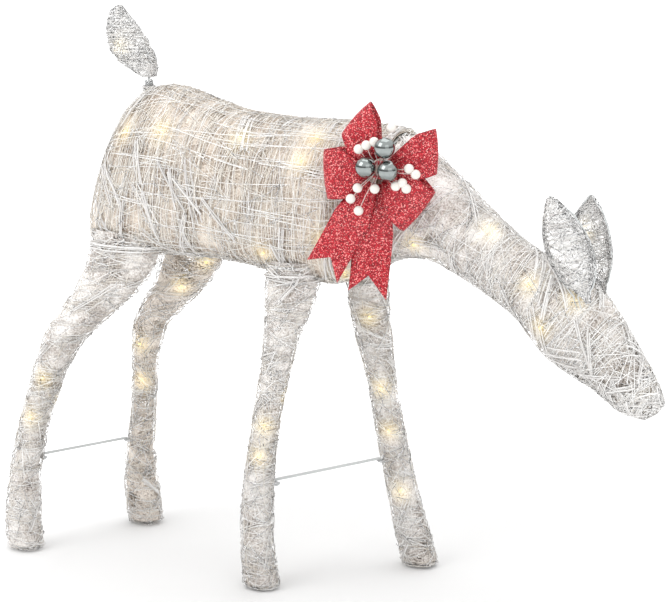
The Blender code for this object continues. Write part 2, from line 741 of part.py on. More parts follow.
def leg_lights(name):
    loft = LEG[name]
    top = leg_seam(name)
    points = [Vector((*top.xy, PLUG_LOW - GAP)), Vector((*top.xy, CORD_TOP_IN_LEG))]
    points += [loft.section(loft.at_height(z))[0] for z in LEG_LIGHT_HEIGHTS]
    cord = light_mesh(points)
    bulbs = []
    for z in LEG_BULB_HEIGHTS:
        foot = loft.section(loft.at_height(z))[0]
        tip = foot + Vector((0, loft.side * LEG_BULB_LEAN, LEG_BULB_RISE))
        bulbs.append(cone_mesh(foot, tip, BULB_FOOT_RADIUS, BULB_TIP_RADIUS, BULB_SIDES))
    return round_piece(name + "_leg_lights", weld([cord], bulbs), LIGHT)


def leg_socket(name):
    """Two sleeves on a cross bar inside the body."""
    front, rear = prong_points(name)
    low = Vector((0, 0, SLEEVE_LOW))
    high = Vector((0, 0, SLEEVE_HIGH))
    sleeves = [tube_mesh(prong + low, prong + high, SLEEVE_OUTER, SLEEVE_BORE) for prong in (front, rear)]
    bar_y = front.y - LEG[name].side * SLEEVE_BAR_OFFSET
    bar_z = SLEEVE_LOW + SLEEVE_BAR_RISE
    ends = (front.x + SLEEVE_BAR_REACH, (front.x + rear.x) / 2, rear.x - SLEEVE_BAR_REACH)
    bar = frame_mesh([Vector((x, bar_y, bar_z)) for x in ends])
    return round_piece(name + "_leg_socket", weld(sleeves, [bar]), STEEL)


def leg_clip(name):
    """Spring clip round the front prong, just over its sleeve."""
    prong = prong_points(name)[0]
    centre = prong + Vector((0, 0, SLEEVE_HIGH + CLIP_RISE))
    path = [centre + Vector((math.cos(a), math.sin(a), 0)) * CLIP_REACH
            for a in (math.radians(CLIP_START + CLIP_SWEEP * k / 8) for k in range(9))]
    return round_piece(name + "_leg_clip", wire_mesh(path, CLIP_WIRE), STEEL)


def light_plug(name, start, end):
    mesh = cone_mesh(start, end, CONNECTOR_RADIUS * 0.8, CONNECTOR_RADIUS * 0.95, 10)
    return round_piece(name, mesh, PLUG)


def neck_socket():
    sleeves = []
    for side in (-1, 1):
        start = Vector((NECK_SLEEVE_X, side * NECK_PRONG_Y, NECK_PRONG_Z))
        sleeves.append(tube_mesh(start, start + Vector((NECK_SLEEVE_LENGTH, 0, 0)), SLEEVE_OUTER,
                                 SLEEVE_BORE))
    offset = Vector((SLEEVE_BAR_REACH, 0, SLEEVE_BAR_OFFSET))
    bar = frame_mesh([Vector((NECK_SLEEVE_X, y, NECK_PRONG_Z)) + offset for y in
                      (-0.070, -0.035, 0.0, 0.035, 0.070)])
    return round_piece("neck_socket", weld(sleeves, [bar]), STEEL)


# ------------------------------------------------------------------ ears

def ear_frame_axes(side):
    """Root point, direction to the tip, width direction and the way the hollow faces."""
    root = NECK.point(EAR_AT, 90 - side * EAR_SPREAD)
    up = Vector(EAR_LEAN[side]).normalized()
    face = Vector(EAR_FACING[side])
    face = (face - up * face.dot(up)).normalized()
    wide = up.cross(face)
    return root, up, wide, face


def ear_root(side):
    root, up, _, _ = ear_frame_axes(side)
    return root, up


def ear_width(part):
    return EAR_HALF_WIDTH * math.sin(math.pi * part ** 0.8) ** 0.85


def ear_slant(side, part, out):
    """The leaf's foot follows the slope of the head."""
    return -EAR_FOOT_SLOPE * side * out * (1 - part) ** 2


def ear_wrap(side, name):
    """Cupped leaf with its hollow toward the other ear."""
    root, up, wide, face = ear_frame_axes(side)
    rows, columns = 8, 4
    bm = bmesh.new()
    grid = []
    for row in range(rows + 1):
        part = EAR_LEAF_START + EAR_LEAF_SPAN * row / rows
        half = ear_width(part)
        line = []
        for column in range(columns + 1):
            across = 2 * column / columns - 1
            depth = EAR_CUP * (half / EAR_HALF_WIDTH) * across ** 2
            lift = ear_slant(side, part, across * half)
            line.append(bm.verts.new(root + up * (EAR_STEM + 0.002 + EAR_LENGTH[side] * part + lift)
                                     + wide * (across * half) + face * depth))
        grid.append(line)
    for low, high in zip(grid, grid[1:]):
        for k in range(columns):
            bm.faces.new((low[k], low[k + 1], high[k + 1], high[k]))
    bmesh.ops.recalc_face_normals(bm, faces=bm.faces)
    mesh = bpy.data.meshes.new(name)
    bm.to_mesh(mesh)
    bm.free()
    mesh.shade_smooth()
    ear = add_object(name, mesh, THREAD)
    solid = ear.modifiers.new("wall", "SOLIDIFY")
    solid.thickness = EAR_SKIN
    solid.offset = 0.0
    return ear


def ear_frame(side, name):
    """Rim wire round the leaf, its two ends together going into the head."""
    root, up, wide, face = ear_frame_axes(side)
    clear = EAR_RIM + EAR_SKIN / 2 + 0.0012
    stem = [root - up * 0.013, root + up * (EAR_STEM - 0.004)]
    apart = wide * EAR_STEM_SPREAD
    path = [place + apart for place in stem]
    steps = 14
    for k in range(steps + 1):
        angle = math.pi * k / steps
        part = 0.5 - 0.5 * math.cos(angle)
        rise = 2 * part if part < 0.5 else 2 - 2 * part
        hand = 1 if part < 0.5 else -1
        half = ear_width(EAR_LEAF_START + EAR_LEAF_SPAN * rise) if rise < 1 else 0.0
        depth = EAR_CUP * half / EAR_HALF_WIDTH
        out = half + clear
        if rise > 0.999:
            out = 0.0
        lift = ear_slant(side, rise, hand * out)
        path.append(root + up * (EAR_STEM + 0.005 + EAR_LENGTH[side] * rise + lift)
                    + wide * (hand * out) + face * depth)
    path += [place - apart for place in reversed(stem)]
    return round_piece(name, wire_mesh(path, EAR_RIM), WHITE_WIRE)


# ------------------------------------------------------------------ tail

def tail_wrap():
    rings = [TAIL.ring(at, TAIL_SIDES) for at in range(TAIL.last + 1)]
    return make_skin("tail_wrap", rings, THREAD, cap_end=True, pivot=TAIL_PIVOT)


def tail_frame():
    """Outline wire whose two ends are eyes round the bracket."""
    def eye(hand, y):
        angles = [math.radians(100 + 260 * k / 9) for k in range(10)]
        return [TAIL_PIVOT + Vector((hand * math.cos(a), 0, math.sin(a))) * TAIL_EYE_RADIUS
                + Vector((0, y, 0)) for a in angles]
    front = eye(1, -TAIL_EYE_Y)
    back = eye(-1, TAIL_EYE_Y)
    up = []
    down = []
    for at, first_inset, second_inset in TAIL_WIRE_INSETS:
        apart = Vector((0, TAIL_EYE_Y * (1 - at / 5.5), 0))
        up.append(TAIL.point(at, 90, first_inset) - apart)
        down.append(TAIL.point(at, 270, second_inset) + apart)
    tip = TAIL.section(5.0)[0] + Vector((-0.003, 0, 0.0045))
    path = front + up + [tip] + down[::-1] + back[::-1]
    return round_piece("tail_frame", wire_mesh(path, EYE_WIRE), WHITE_WIRE, TAIL_PIVOT)


def tail_bracket():
    """Staple over the rump that the tail's eyes turn on."""
    half, depth = TAIL_BRACKET_HALF, TAIL_BRACKET_DEPTH
    outline = [(-half, -depth), (-half, -0.003), (-half + 0.0012, -0.0006), (-half + 0.003, 0.0),
               (0.0, 0.0), (half - 0.003, 0.0), (half - 0.0012, -0.0006), (half, -0.003), (half, -depth)]
    path = [TAIL_PIVOT + Vector((0, y, z)) for y, z in outline]
    return round_piece("tail_bracket", wire_mesh(path, EYE_WIRE), STEEL)


# ------------------------------------------------------------------ spreader bars

def leg_eye(name):
    """Staple through the wrap, its level middle run standing off the leg."""
    centre, inward, across = bar_eye_axes(name)
    span, out, root = EYE_HALF_SPAN, EYE_STANDOFF, EYE_ROOT
    outline = [(-span, root), (-span, out - 0.003), (-span + 0.001, out - 0.0008), (-span + 0.003, out),
               (0.0, out), (span - 0.003, out), (span - 0.001, out - 0.0008), (span, out - 0.003),
               (span, root)]
    path = [centre + across * a + inward * r for a, r in outline]
    return round_piece(name + "_leg_bar_eye", wire_mesh(path, EYE_WIRE), STEEL)


def spreader_bar(pair):
    """Closed eye on the right leg's staple, a hook that drops over the left leg's staple."""
    centre, inward, _ = bar_eye_axes("right_" + pair)
    start = centre + inward * EYE_STANDOFF
    centre, inward, across = bar_eye_axes("left_" + pair)
    end = centre + inward * EYE_STANDOFF
    length = (end - start).length
    along = (end - start).normalized()
    above = along.cross(-across).normalized()
    bend = EYE_WIRE + BAR_RADIUS + BAR_HOOK_CLEARANCE
    flat = [(bend * math.cos(a), bend * math.sin(a)) for a in
            (math.radians(-12 - 258 * k / 12) for k in range(13))]
    flat += [(length * k / 6, bend) for k in range(1, 6)]
    flat += [(length + bend * math.cos(a), bend * math.sin(a)) for a in
             (math.radians(90 - 92 * k / 5) for k in range(6))]
    path = [start + along * run + above * rise for run, rise in flat]
    return round_piece(pair + "_spreader_bar", wire_mesh(path, BAR_RADIUS), WHITE_WIRE, start)


# ------------------------------------------------------------------ bow

def bow_point(right, up, out):
    """From the bow's own plane to the model; out is away from the doe's side."""
    across = Vector((math.cos(BOW_TURN), math.sin(BOW_TURN), 0))
    facing = Vector((math.sin(BOW_TURN), -math.cos(BOW_TURN), 0))
    return BOW_CENTRE + across * right + Vector((0, 0, up)) + facing * out


def ribbon_object(name, rows):
    """A strip given by rows of points across it, thickened to the ribbon."""
    bm = bmesh.new()
    grid = [[bm.verts.new(p) for p in row] for row in rows]
    for here, there in zip(grid, grid[1:]):
        for k in range(len(here) - 1):
            bm.faces.new((here[k], here[k + 1], there[k + 1], there[k]))
    mesh = bpy.data.meshes.new(name)
    bm.to_mesh(mesh)
    bm.free()
    mesh.shade_smooth()
    obj = add_object(name, mesh, RIBBON)
    solid = obj.modifiers.new("cloth", "SOLIDIFY")
    solid.thickness = RIBBON_THICKNESS
    solid.offset = 0.0
    return obj


def bow_loop(name, degrees, reach, depth):
    """Ribbon leaving the knot, turning at the far end and coming back."""
    angle = math.radians(degrees)
    run = Vector((math.cos(angle), math.sin(angle)))
    side = Vector((-run.y, run.x))
    rows = []
    steps = 14
    for k in range(steps + 1):
        turn = math.radians(-90 + 180 * k / steps)
        out = depth / 2 * math.sin(turn)
        far = LOOP_GATHER
        if k in (0, steps):
            out *= 0.35
        else:
            far += (reach - LOOP_GATHER) * math.cos(turn) ** 0.6
        spread = min(1.0, 0.30 + 0.70 * (far - LOOP_GATHER) / (reach * 0.55))
        row = []
        for across in (-1, 0, 1):
            place = run * far + side * (across * spread * RIBBON_WIDTH / 2)
            row.append(bow_point(place.x, place.y, out))
        rows.append(row)
    return ribbon_object(name, rows)


def bow_tail(name, degrees, reach, out_start, out_end):
    """Hanging end with a swallow-tail notch."""
    angle = math.radians(degrees)
    run = Vector((math.cos(angle), math.sin(angle)))
    side = Vector((-run.y, run.x))
    rows = []
    steps = 8
    for k in range(steps + 1):
        part = k / steps
        spread = min(1.0, 0.35 + 1.6 * part)
        row = []
        for across in (-1, 0, 1):
            notch = NOTCH_DEPTH * part if across else 0.0
            far = TAIL_START + (reach - NOTCH_DEPTH - TAIL_START) * part + notch
            place = run * far + side * (across * spread * RIBBON_WIDTH / 2)
            wave = 0.004 * math.sin(part * 7.0 + across)
            row.append(bow_point(place.x, place.y, out_start + out_end * part + wave * part))
        rows.append(row)
    return ribbon_object(name, rows)


def bow_knot():
    """Gathered centre band, as a short barrel."""
    mesh = cone_mesh(bow_point(0, 0, -0.010), bow_point(0, 0, 0.012), 0.0135, 0.0125, 14)
    return round_piece("bow_knot", mesh, RIBBON)


def bow_tie():
    """Twisted wire from the knot back to the neck."""
    points = [bow_point(0, 0, -0.0104), bow_point(0, 0, -0.018), bow_point(-0.001, 0.002, -0.026),
              bow_point(0, 0.001, -0.034)]
    return round_piece("bow_tie_wire", wire_mesh(points, TIE_WIRE), WHITE_WIRE)


def bow_balls():
    for number, place in enumerate(BALLS, 1):
        round_piece("bow_ball_%d" % number, sphere_mesh(bow_point(*place), BALL_RADIUS, 12, 8), CHROME)


def bow_sprig(name, start, tips):
    """Berries on stems that leave one bound root behind the balls."""
    root = bow_point(*start, SPRIG_ROOT_OUT)
    mesh = sphere_mesh(root, SPRIG_ROOT_RADIUS, 7, 5)
    for right, up, out in tips:
        bend = bow_point(start[0] + 0.6 * (right - start[0]), start[1] + 0.6 * (up - start[1]),
                         SPRIG_BEND_OUT)
        stem = wire_mesh([root, bend, bow_point(right, up, out)], BERRY_STEM, False, FRAME_RESOLUTION)
        mesh = weld([mesh], [stem])
    mesh = weld([mesh], [sphere_mesh(bow_point(*tip), BERRY_RADIUS, 8, 5) for tip in tips])
    return round_piece("bow_berries_" + name, mesh, BERRY)


# ------------------------------------------------------------------ assembly

def build_body():
    body_wrap()
    body_frame()
    body_lights()
    tail_bracket()


def build_neck():
    neck_head_wrap()
    neck_head_frame()
    neck_head_lights()
    neck_socket()
    plug_start, plug_end = NECK_PLUG_SPAN
    light_plug("neck_light_plug", NECK_CONNECTOR + Vector((plug_start, 0, 0)),
               NECK_CONNECTOR + Vector((plug_end, 0, 0)))
    for side, word in ((-1, "right"), (1, "left")):
        ear_wrap(side, word + "_ear_wrap")
        ear_frame(side, word + "_ear_frame")


def build_legs():
    envelope = closed_envelope(BODY, GAP, "body_envelope")
    for name in LEG:
        leg_wrap(name, envelope)
        leg_frame(name)
        leg_lights(name)
        leg_socket(name)
        leg_clip(name)
        leg_eye(name)
        place = leg_seam(name)
        light_plug(name + "_light_plug", Vector((*place.xy, PLUG_LOW)),
                   Vector((*place.xy, SOCKET_LOW - GAP)))
    for pair in ("hind", "front"):
        spreader_bar(pair)


def build_tail():
    tail_wrap()
    tail_frame()


def build_bow():
    for name, shape in BOW_LOOPS.items():
        bow_loop("bow_loop_" + name, *shape)
    for name, shape in BOW_TAILS.items():
        bow_tail("bow_tail_" + name, *shape)
    bow_knot()
    bow_tie()
    bow_balls()
    for name, (start, tips) in SPRIGS.items():
        bow_sprig(name, start, tips)


build_body()
build_neck()
build_legs()
build_tail()
build_bow()
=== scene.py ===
"""Looks of a grazing, thread-wound light up doe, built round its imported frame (metres, row frame)."""

import json
import math

import bpy
import numpy as np
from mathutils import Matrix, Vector
from mathutils.bvhtree import BVHTree


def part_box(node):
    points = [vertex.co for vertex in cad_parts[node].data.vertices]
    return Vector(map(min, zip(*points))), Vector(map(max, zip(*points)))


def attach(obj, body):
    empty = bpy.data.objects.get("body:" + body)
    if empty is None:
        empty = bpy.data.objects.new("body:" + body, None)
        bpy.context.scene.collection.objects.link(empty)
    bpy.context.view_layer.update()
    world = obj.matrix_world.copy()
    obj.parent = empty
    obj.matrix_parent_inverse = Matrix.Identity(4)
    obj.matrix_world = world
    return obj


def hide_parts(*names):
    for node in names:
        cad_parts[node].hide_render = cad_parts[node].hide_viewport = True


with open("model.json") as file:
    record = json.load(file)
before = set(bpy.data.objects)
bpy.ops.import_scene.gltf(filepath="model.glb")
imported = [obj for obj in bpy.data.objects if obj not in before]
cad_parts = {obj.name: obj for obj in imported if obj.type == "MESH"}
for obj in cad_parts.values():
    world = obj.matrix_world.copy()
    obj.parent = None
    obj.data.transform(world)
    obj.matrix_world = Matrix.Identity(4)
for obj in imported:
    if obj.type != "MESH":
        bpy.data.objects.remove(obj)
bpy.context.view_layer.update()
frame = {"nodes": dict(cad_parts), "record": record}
RNG = np.random.default_rng(20)
BODY = "reindeer"
MIDDLE_Y = 0.015

# Camera: where it looks from, in degrees, and how far
AZIMUTH = 26.84
ELEVATION = 11.43
DISTANCE = 3.5
LOOK_AT = Vector((0.009, 0.015, 0.4575))
SENSOR = 36.0
LENS = 117.89

# Studio: each light's place, size and power, then the sky and the floor, whose painted light grows with
# distance and leaves painted shade near the doe
LIGHTS = {"key": ((-1.6, -2.6, 3.0), 2.4, 42), "fill": ((2.6, -2.0, 1.6), 2.4, 10),
          "top": ((0.0, 0.6, 3.4), 2.6, 26)}
SKY_STRENGTH = 1.25
SKY_STOPS = ((0.14, (0.22, 0.22, 0.22)), (0.42, (1.0, 1.0, 1.0)))
FLOOR_REACH = 90.0
FLOOR_LEVEL = -0.001
FLOOR_GREY = (0.70, 0.70, 0.70, 1.0)
FLOOR_PAINTED_LIGHT_STOPS = ((0.45, (0.06, 0.06, 0.06)), (1.0, (0.6, 0.6, 0.6)))

# Threads: radii, and the size of the flat strips
THREAD = 0.00074
FINE_THREAD = 0.00050
GLITTER = 0.00058
STRIP_WIDTH = 0.0026
STRIP_THICKNESS = 0.0004
LEG_STRIP_SHARE = 0.8
TINT_SPREAD = 0.22
BUNDLE_SPREAD = 0.0055
# how unevenly the threads of each wrap stand out
WRAP_ROUGH = 0.0008
LEG_ROUGH = 0.0011
TAIL_ROUGH = 0.0004
COLLAR_ROUGH = 0.0003
EAR_ROUGH = 0.0005
# how many lie side by side in each manner of run
BUNDLES = {"run": 1, "band": 3}

# Lamps: how far the painted lamp light on the threads reaches, its colour, and a lens as (radius, rise) with
# its sides
PAINTED_LIGHT_REACH = 0.0150
MOST_PAINTED_LIGHT = 1.5
WARM_LIGHT = (1.0, 0.77, 0.26, 1.0)
LENS_PROFILE = ((0.0022, -0.006), (0.0024, -0.003), (0.0020, -0.0008), (0.0013, 0.0004), (0.0003, 0.0010))
LENS_SIDES = 12

# Wound surfaces: how far rays are cast for each, then the rest
BODY_REACH = 0.26
NECK_REACH = 0.16
LEG_REACH = 0.10
TAIL_REACH = 0.07
SMOOTHING = 3
WALL = 0.0022
LOWEST = 0.0003
ROUND_COLUMNS = 64
LONG_ROWS = 90
TAIL_ROWS = 34
EAR_ROWS = 26
LEG_LOW = 0.006
LEG_SEAM = 0.512
LEG_TOP_GAP = 0.004
OPEN_LEG = "left_hind"
OPEN_SHARE = 0.7
COLLAR_ROWS = 8
COLLAR_GAP = 0.0075
COLLAR_HALF_LENGTH = 0.0065
COLLAR_HALF_WIDTH = 0.0150
EAR_OVERHANG = 0.17
EAR_RIM = 0.97
EAR_CAST_FROM = 0.06

# Ends: (share of the last ring's size, push onward) steps
BODY_ENDS = {"first": ((0.93, 0.006), (0.80, 0.010), (0.45, 0.013), (0.04, 0.0135))}
NECK_ENDS = {"first": ((0.97, 0.007), (0.90, 0.015)), "last": ((0.86, 0.003), (0.50, 0.005), (0.05, 0.0055))}
FOOT_ENDS = {"first": ((0.86, 0.0015), (0.45, 0.002), (0.04, 0.002))}
TAIL_ENDS = {"first": ((0.78, 0.004), (0.55, 0.004), (0.42, 0.003)), "last": ((0.4, 0.001),)}
EAR_ROOT_ROWS = ((0.42, 0.020), (0.62, 0.014), (0.84, 0.007))
EAR_TIP_ROWS = ((0.66, 0.003), (0.20, 0.005))

# Guide lines through the middle of the body and of the neck with the head: (top, bottom) as x, z
BODY_GUIDE = (((-0.341, 0.772), (-0.421, 0.524)), ((-0.226, 0.775), (-0.266, 0.518)),
              ((-0.086, 0.748), (-0.106, 0.508)), ((0.044, 0.747), (0.029, 0.493)),
              ((0.133, 0.740), (0.108, 0.530)))
NECK_GUIDE = (((0.139, 0.737), (0.112, 0.530)), ((0.249, 0.647), (0.193, 0.540)),
              ((0.339, 0.573), (0.289, 0.488)), ((0.429, 0.532), (0.356, 0.427)),
              ((0.493, 0.473), (0.423, 0.379)), ((0.541, 0.396), (0.487, 0.338)),
              ((0.560, 0.352), (0.532, 0.326)))

# Lamps as (share of the way along, degrees round)
BODY_LAMPS = ((0.10, 138), (0.24, 138), (0.47, 130), (0.58, 222), (0.68, 142), (0.70, 120), (0.78, 205),
              (0.86, 240), (0.90, 140), (0.30, 35), (0.60, 25), (0.80, 330))
NECK_LAMPS = ((0.12, 215), (0.26, 124), (0.41, 158), (0.50, 205), (0.53, 132), (0.30, 20), (0.60, 330))
LEG_LAMPS = {"right_hind": ((0.43, 180), (0.55, 172), (0.48, 20)),
             "left_hind": ((0.50, 170), (0.62, 190), (0.82, 150), (0.90, 122)),
             "right_front": ((0.42, 165), (0.51, 160), (0.60, 20)),
             "left_front": ((0.26, 165), (0.45, 160), (0.58, 165), (0.80, 160))}
TAIL_LAMPS = ((0.45, 200),)
EAR_LAMPS = {"right": (), "left": ((0.62, 45),)}

# Zones as shares of the way along and degrees round, and ranges of angle from the turns
WHOLE = (0.0, 1.0, 0.0, 360.0)
HAUNCH = (0.05, 0.45, 150.0, 265.0)
BELLY = (0.30, 0.95, 225.0, 290.0)
HEAD = (0.70, 1.0, 0.0, 360.0)
TAIL_ROOT = (0.0, 0.25, 0.0, 360.0)
LEG_SEAM_BAND = (0.945, 0.965)
EAR_EDGES = ((0.0, 1.0, -14.0, 14.0), (0.0, 1.0, 166.0, 194.0))
SIDEWAYS = (60, 120)
ANY_ANGLE = (-80, 80)
ALONG = (86, 94)

# Layers of winding, inner first: manner, count, corners, strand, highest lift, tint, then for rings their
# slant and zone, and for runs their range of angle, range of length and zone
BODY_LAYERS = (
    ("ring", 120, 13, "cream", 0.0010, 0.55, 0.020, WHOLE),
    ("ring", 80, 13, "fine_white", 0.0018, 0.62, 0.030, WHOLE),
    ("run", 260, 5, "cream", 0.0020, 0.55, (-12, 12), (0.04, 0.13), WHOLE),
    ("run", 200, 5, "fine_white", 0.0022, 0.66, (-20, 20), (0.04, 0.15), WHOLE),
    ("run", 260, 6, "fine_cream", 0.0022, 0.60, SIDEWAYS, (0.04, 0.22), WHOLE),
    ("run", 190, 6, "white", 0.0022, 0.66, (82, 98), (0.05, 0.20), WHOLE),
    ("run", 200, 5, "fine_white", 0.0024, 0.62, ANY_ANGLE, (0.03, 0.12), WHOLE),
    ("run", 430, 4, "silver", 0.0024, 0.50, ANY_ANGLE, (0.012, 0.04), WHOLE),
    ("band", 90, 5, "strip", 0.0022, 0.40, (-14, 14), (0.04, 0.12), WHOLE),
    ("band", 42, 5, "strip", 0.0026, 0.45, (10, 50), (0.05, 0.12), HAUNCH),
    ("band", 45, 5, "strip", 0.0026, 0.45, (-50, 50), (0.05, 0.12), BELLY))
NECK_LAYERS = (
    ("ring", 130, 11, "white", 0.0010, 0.58, 0.025, WHOLE),
    ("ring", 90, 11, "fine_cream", 0.0016, 0.50, 0.030, WHOLE),
    ("run", 260, 5, "fine_white", 0.0020, 0.62, ANY_ANGLE, (0.03, 0.10), WHOLE),
    ("run", 120, 5, "fine_white", 0.0020, 0.60, SIDEWAYS, (0.05, 0.16), WHOLE),
    ("run", 320, 4, "silver", 0.0022, 0.50, ANY_ANGLE, (0.015, 0.06), WHOLE),
    ("band", 120, 5, "strip", 0.0022, 0.50, ANY_ANGLE, (0.04, 0.10), WHOLE),
    ("band", 75, 5, "strip", 0.0024, 0.62, (15, 60), (0.05, 0.12), WHOLE),
    ("run", 110, 5, "white", 0.0026, 0.95, ANY_ANGLE, (0.03, 0.08), HEAD),
    ("band", 48, 5, "strip", 0.0026, 0.95, ANY_ANGLE, (0.03, 0.08), HEAD))
TAIL_LAYERS = (
    ("ring", 60, 12, "fine_white", 0.0008, 0.50, 0.03, WHOLE),
    ("run", 300, 4, "silver", 0.0012, 0.50, ANY_ANGLE, (0.01, 0.04), WHOLE),
    ("run", 60, 4, "fine_white", 0.0012, 0.60, ANY_ANGLE, (0.015, 0.05), WHOLE),
    ("run", 6, 5, "strip", 0.0012, 0.70, (-20, 20), (0.02, 0.05), TAIL_ROOT))
COLLAR_LAYERS = (
    ("ring", 22, 12, "white", 0.0006, 0.60, 0.10, WHOLE),
    ("run", 60, 4, "silver", 0.0010, 0.50, ANY_ANGLE, (0.006, 0.02), WHOLE),
    ("band", 9, 4, "strip", 0.0012, 0.95, (-30, 30), (0.01, 0.02), WHOLE))
EAR_LAYERS = (
    ("ring", 60, 16, "fine_white", 0.0008, 0.50, 0.03, WHOLE),
    ("run", 240, 4, "silver", 0.0010, 0.50, ANY_ANGLE, (0.008, 0.03), WHOLE),
    ("run", 120, 4, "fine_white", 0.0012, 0.65, ANY_ANGLE, (0.012, 0.04), WHOLE),
    ("run", 50, 7, "silver", 0.0014, 0.50, ALONG, (0.03, 0.09), EAR_EDGES[0]),
    ("run", 50, 7, "silver", 0.0014, 0.50, ALONG, (0.03, 0.09), EAR_EDGES[1]))

# Bow
BOW_TURN = math.radians(15)
RIBBON_WIDTH = 0.0635
RIBBON_THICKNESS = 0.0006
PLEAT_DEPTH = 0.0032
LOOP_GATHER = 0.016
LOOP_ROOT_SHARE = 0.15
LOOP_BULGE = 0.0030
LOOP_CURL = 0.0026
LOOP_STEPS = 44
LOOP_COLUMNS = 15
TAIL_START = 0.022
TAIL_ROOT_SHARE = 0.16
TAIL_WAVE = 0.004
TAIL_STEPS = 30
TAIL_COLUMNS = 13
# each loop's far edge, corner to corner as right, up from the knot, and its depth
LOOPS = {"upper": ((-0.057, 0.054), (-0.013, 0.103), 0.030),
         "left": ((-0.0845, 0.029), (-0.079, -0.046), 0.034),
         "right_upper": ((0.086, 0.0645), (0.088, -0.004), 0.030),
         "right_lower": ((0.086, -0.032), (0.038, -0.092), 0.032)}
# each tail's two tips, the root of its notch, distance out at the knot, further distance out at the end
TAILS = {"left": ((-0.109, -0.140), (-0.0615, -0.1735), (-0.072, -0.134), 0.004, 0.006),
         "right": ((-0.046, -0.186), (0.014, -0.198), (-0.014, -0.161), -0.004, 0.010)}
KNOT_SIDES = 84
KNOT_PLEATS = 14
KNOT_PLEAT_DEPTH = 0.0007
KNOT_ROWS = ((-0.009, 0.010), (-0.006, 0.0132), (0.001, 0.0140), (0.009, 0.0128), (0.013, 0.009))
# berries of each sprig as right, up, out
BERRY_RADIUS = 0.0074
SPRIG_WIRE = 0.0005
SPRIG_ROOT_OUT = 0.0150
SPRIGS = {"upper": ((-0.0255, 0.0345, 0.030), (-0.0135, 0.0410, 0.032), (-0.002, 0.046, 0.030),
                    (0.0235, 0.0675, 0.027)),
          "lower": ((-0.027, -0.024, 0.030), (-0.0375, -0.0405, 0.030), (-0.0255, -0.0585, 0.029),
                    (0.0, -0.024, 0.034)),
          "right": ((0.0315, -0.019, 0.033), (0.0415, -0.014, 0.033), (0.0475, -0.0225, 0.032),
                    (0.051, 0.0075, 0.031), (0.061, -0.001, 0.030))}


# ------------------------------------------------------------------ camera, light and floor

def make_camera():
    a, e = math.radians(AZIMUTH), math.radians(ELEVATION)
    back = Vector((math.sin(a) * math.cos(e), -math.cos(a) * math.cos(e), math.sin(e)))
    data = bpy.data.cameras.new("camera")
    data.sensor_width = SENSOR
    data.lens = LENS
    camera = bpy.data.objects.new("camera", data)
    bpy.context.scene.collection.objects.link(camera)
    camera.location = LOOK_AT + back * DISTANCE
    camera.rotation_euler = (-back).to_track_quat("-Z", "Y").to_euler()
    bpy.context.scene.camera = camera


def area_light(name, place, size, power):
    data = bpy.data.lights.new(name, "AREA")
    data.size = size
    data.energy = power
    light = bpy.data.objects.new(name, data)
    bpy.context.scene.collection.objects.link(light)
    light.location = place
    light.rotation_euler = (LOOK_AT - Vector(place)).to_track_quat("-Z", "Y").to_euler()


def make_sky():
    """A pale dome, darker near the horizon, shown without a film look."""
    scene = bpy.context.scene
    scene.view_settings.view_transform = "Standard"
    world = bpy.data.worlds.new("studio")
    scene.world = world
    world.use_nodes = True
    tree = world.node_tree
    coordinates = tree.nodes.new("ShaderNodeTexCoord")
    parts = tree.nodes.new("ShaderNodeSeparateXYZ")
    tree.links.new(coordinates.outputs["Generated"], parts.inputs["Vector"])
    background = tree.nodes["Background"]
    tree.links.new(add_ramp(tree, parts.outputs["Z"], SKY_STOPS), background.inputs["Color"])
    background.inputs["Strength"].default_value = SKY_STRENGTH


def make_floor():
    """A pale floor with painted light that grows with distance, so it meets the sky without an edge and
    leaves painted shade near the doe.
    """
    mesh = bpy.data.meshes.new("floor")
    signs = ((-1, -1), (1, -1), (1, 1), (-1, 1))
    corners = [(x * FLOOR_REACH, y * FLOOR_REACH, FLOOR_LEVEL) for x, y in signs]
    mesh.from_pydata(corners, [], [(0, 1, 2, 3)])
    floor = bpy.data.objects.new("floor", mesh)
    bpy.context.scene.collection.objects.link(floor)
    material, shader, tree = new_material("floor_painted_light")
    shader.inputs["Base Color"].default_value = FLOOR_GREY
    shader.inputs["Roughness"].default_value = 0.9
    shader.inputs["Emission Color"].default_value = (1.0, 1.0, 1.0, 1.0)
    coordinates = tree.nodes.new("ShaderNodeTexCoord")
    radius = tree.nodes.new("ShaderNodeVectorMath")
    radius.operation = "LENGTH"
    tree.links.new(coordinates.outputs["Object"], radius.inputs[0])
    # painted light: emission grows with distance from the middle, so the floor near the doe stays darker as
    # painted shade
    tree.links.new(add_ramp(tree, radius.outputs["Value"], FLOOR_PAINTED_LIGHT_STOPS), shader.inputs["Emission Strength"])
    mesh.materials.append(material)


# ------------------------------------------------------------------ materials

def new_material(name):
    material = bpy.data.materials.new(name)
    material.use_nodes = True
    tree = material.node_tree
    return material, tree.nodes["Principled BSDF"], tree


def add_noise(tree, scale, detail=4.0):
    coordinates = tree.nodes.new("ShaderNodeTexCoord")
    noise = tree.nodes.new("ShaderNodeTexNoise")
    noise.inputs["Scale"].default_value = scale
    noise.inputs["Detail"].default_value = detail
    tree.links.new(coordinates.outputs["Object"], noise.inputs["Vector"])
    return noise.outputs["Fac"]


def add_ramp(tree, source, stops):
    ramp = tree.nodes.new("ShaderNodeValToRGB")
    elements = ramp.color_ramp.elements
    while len(elements) < len(stops):
        elements.new(0.5)
    for element, (place, colour) in zip(elements, stops):
        element.position = place
        element.color = (*colour, 1.0)
    tree.links.new(source, ramp.inputs["Fac"])
    return ramp.outputs["Color"]


def add_attribute(tree, name):
    node = tree.nodes.new("ShaderNodeAttribute")
    node.attribute_name = name
    return node.outputs["Fac"]


def add_bump(tree, shader, height, strength, distance):
    bump = tree.nodes.new("ShaderNodeBump")
    bump.inputs["Strength"].default_value = strength
    bump.inputs["Distance"].default_value = distance
    tree.links.new(height, bump.inputs["Height"])
    tree.links.new(bump.outputs["Normal"], shader.inputs["Normal"])


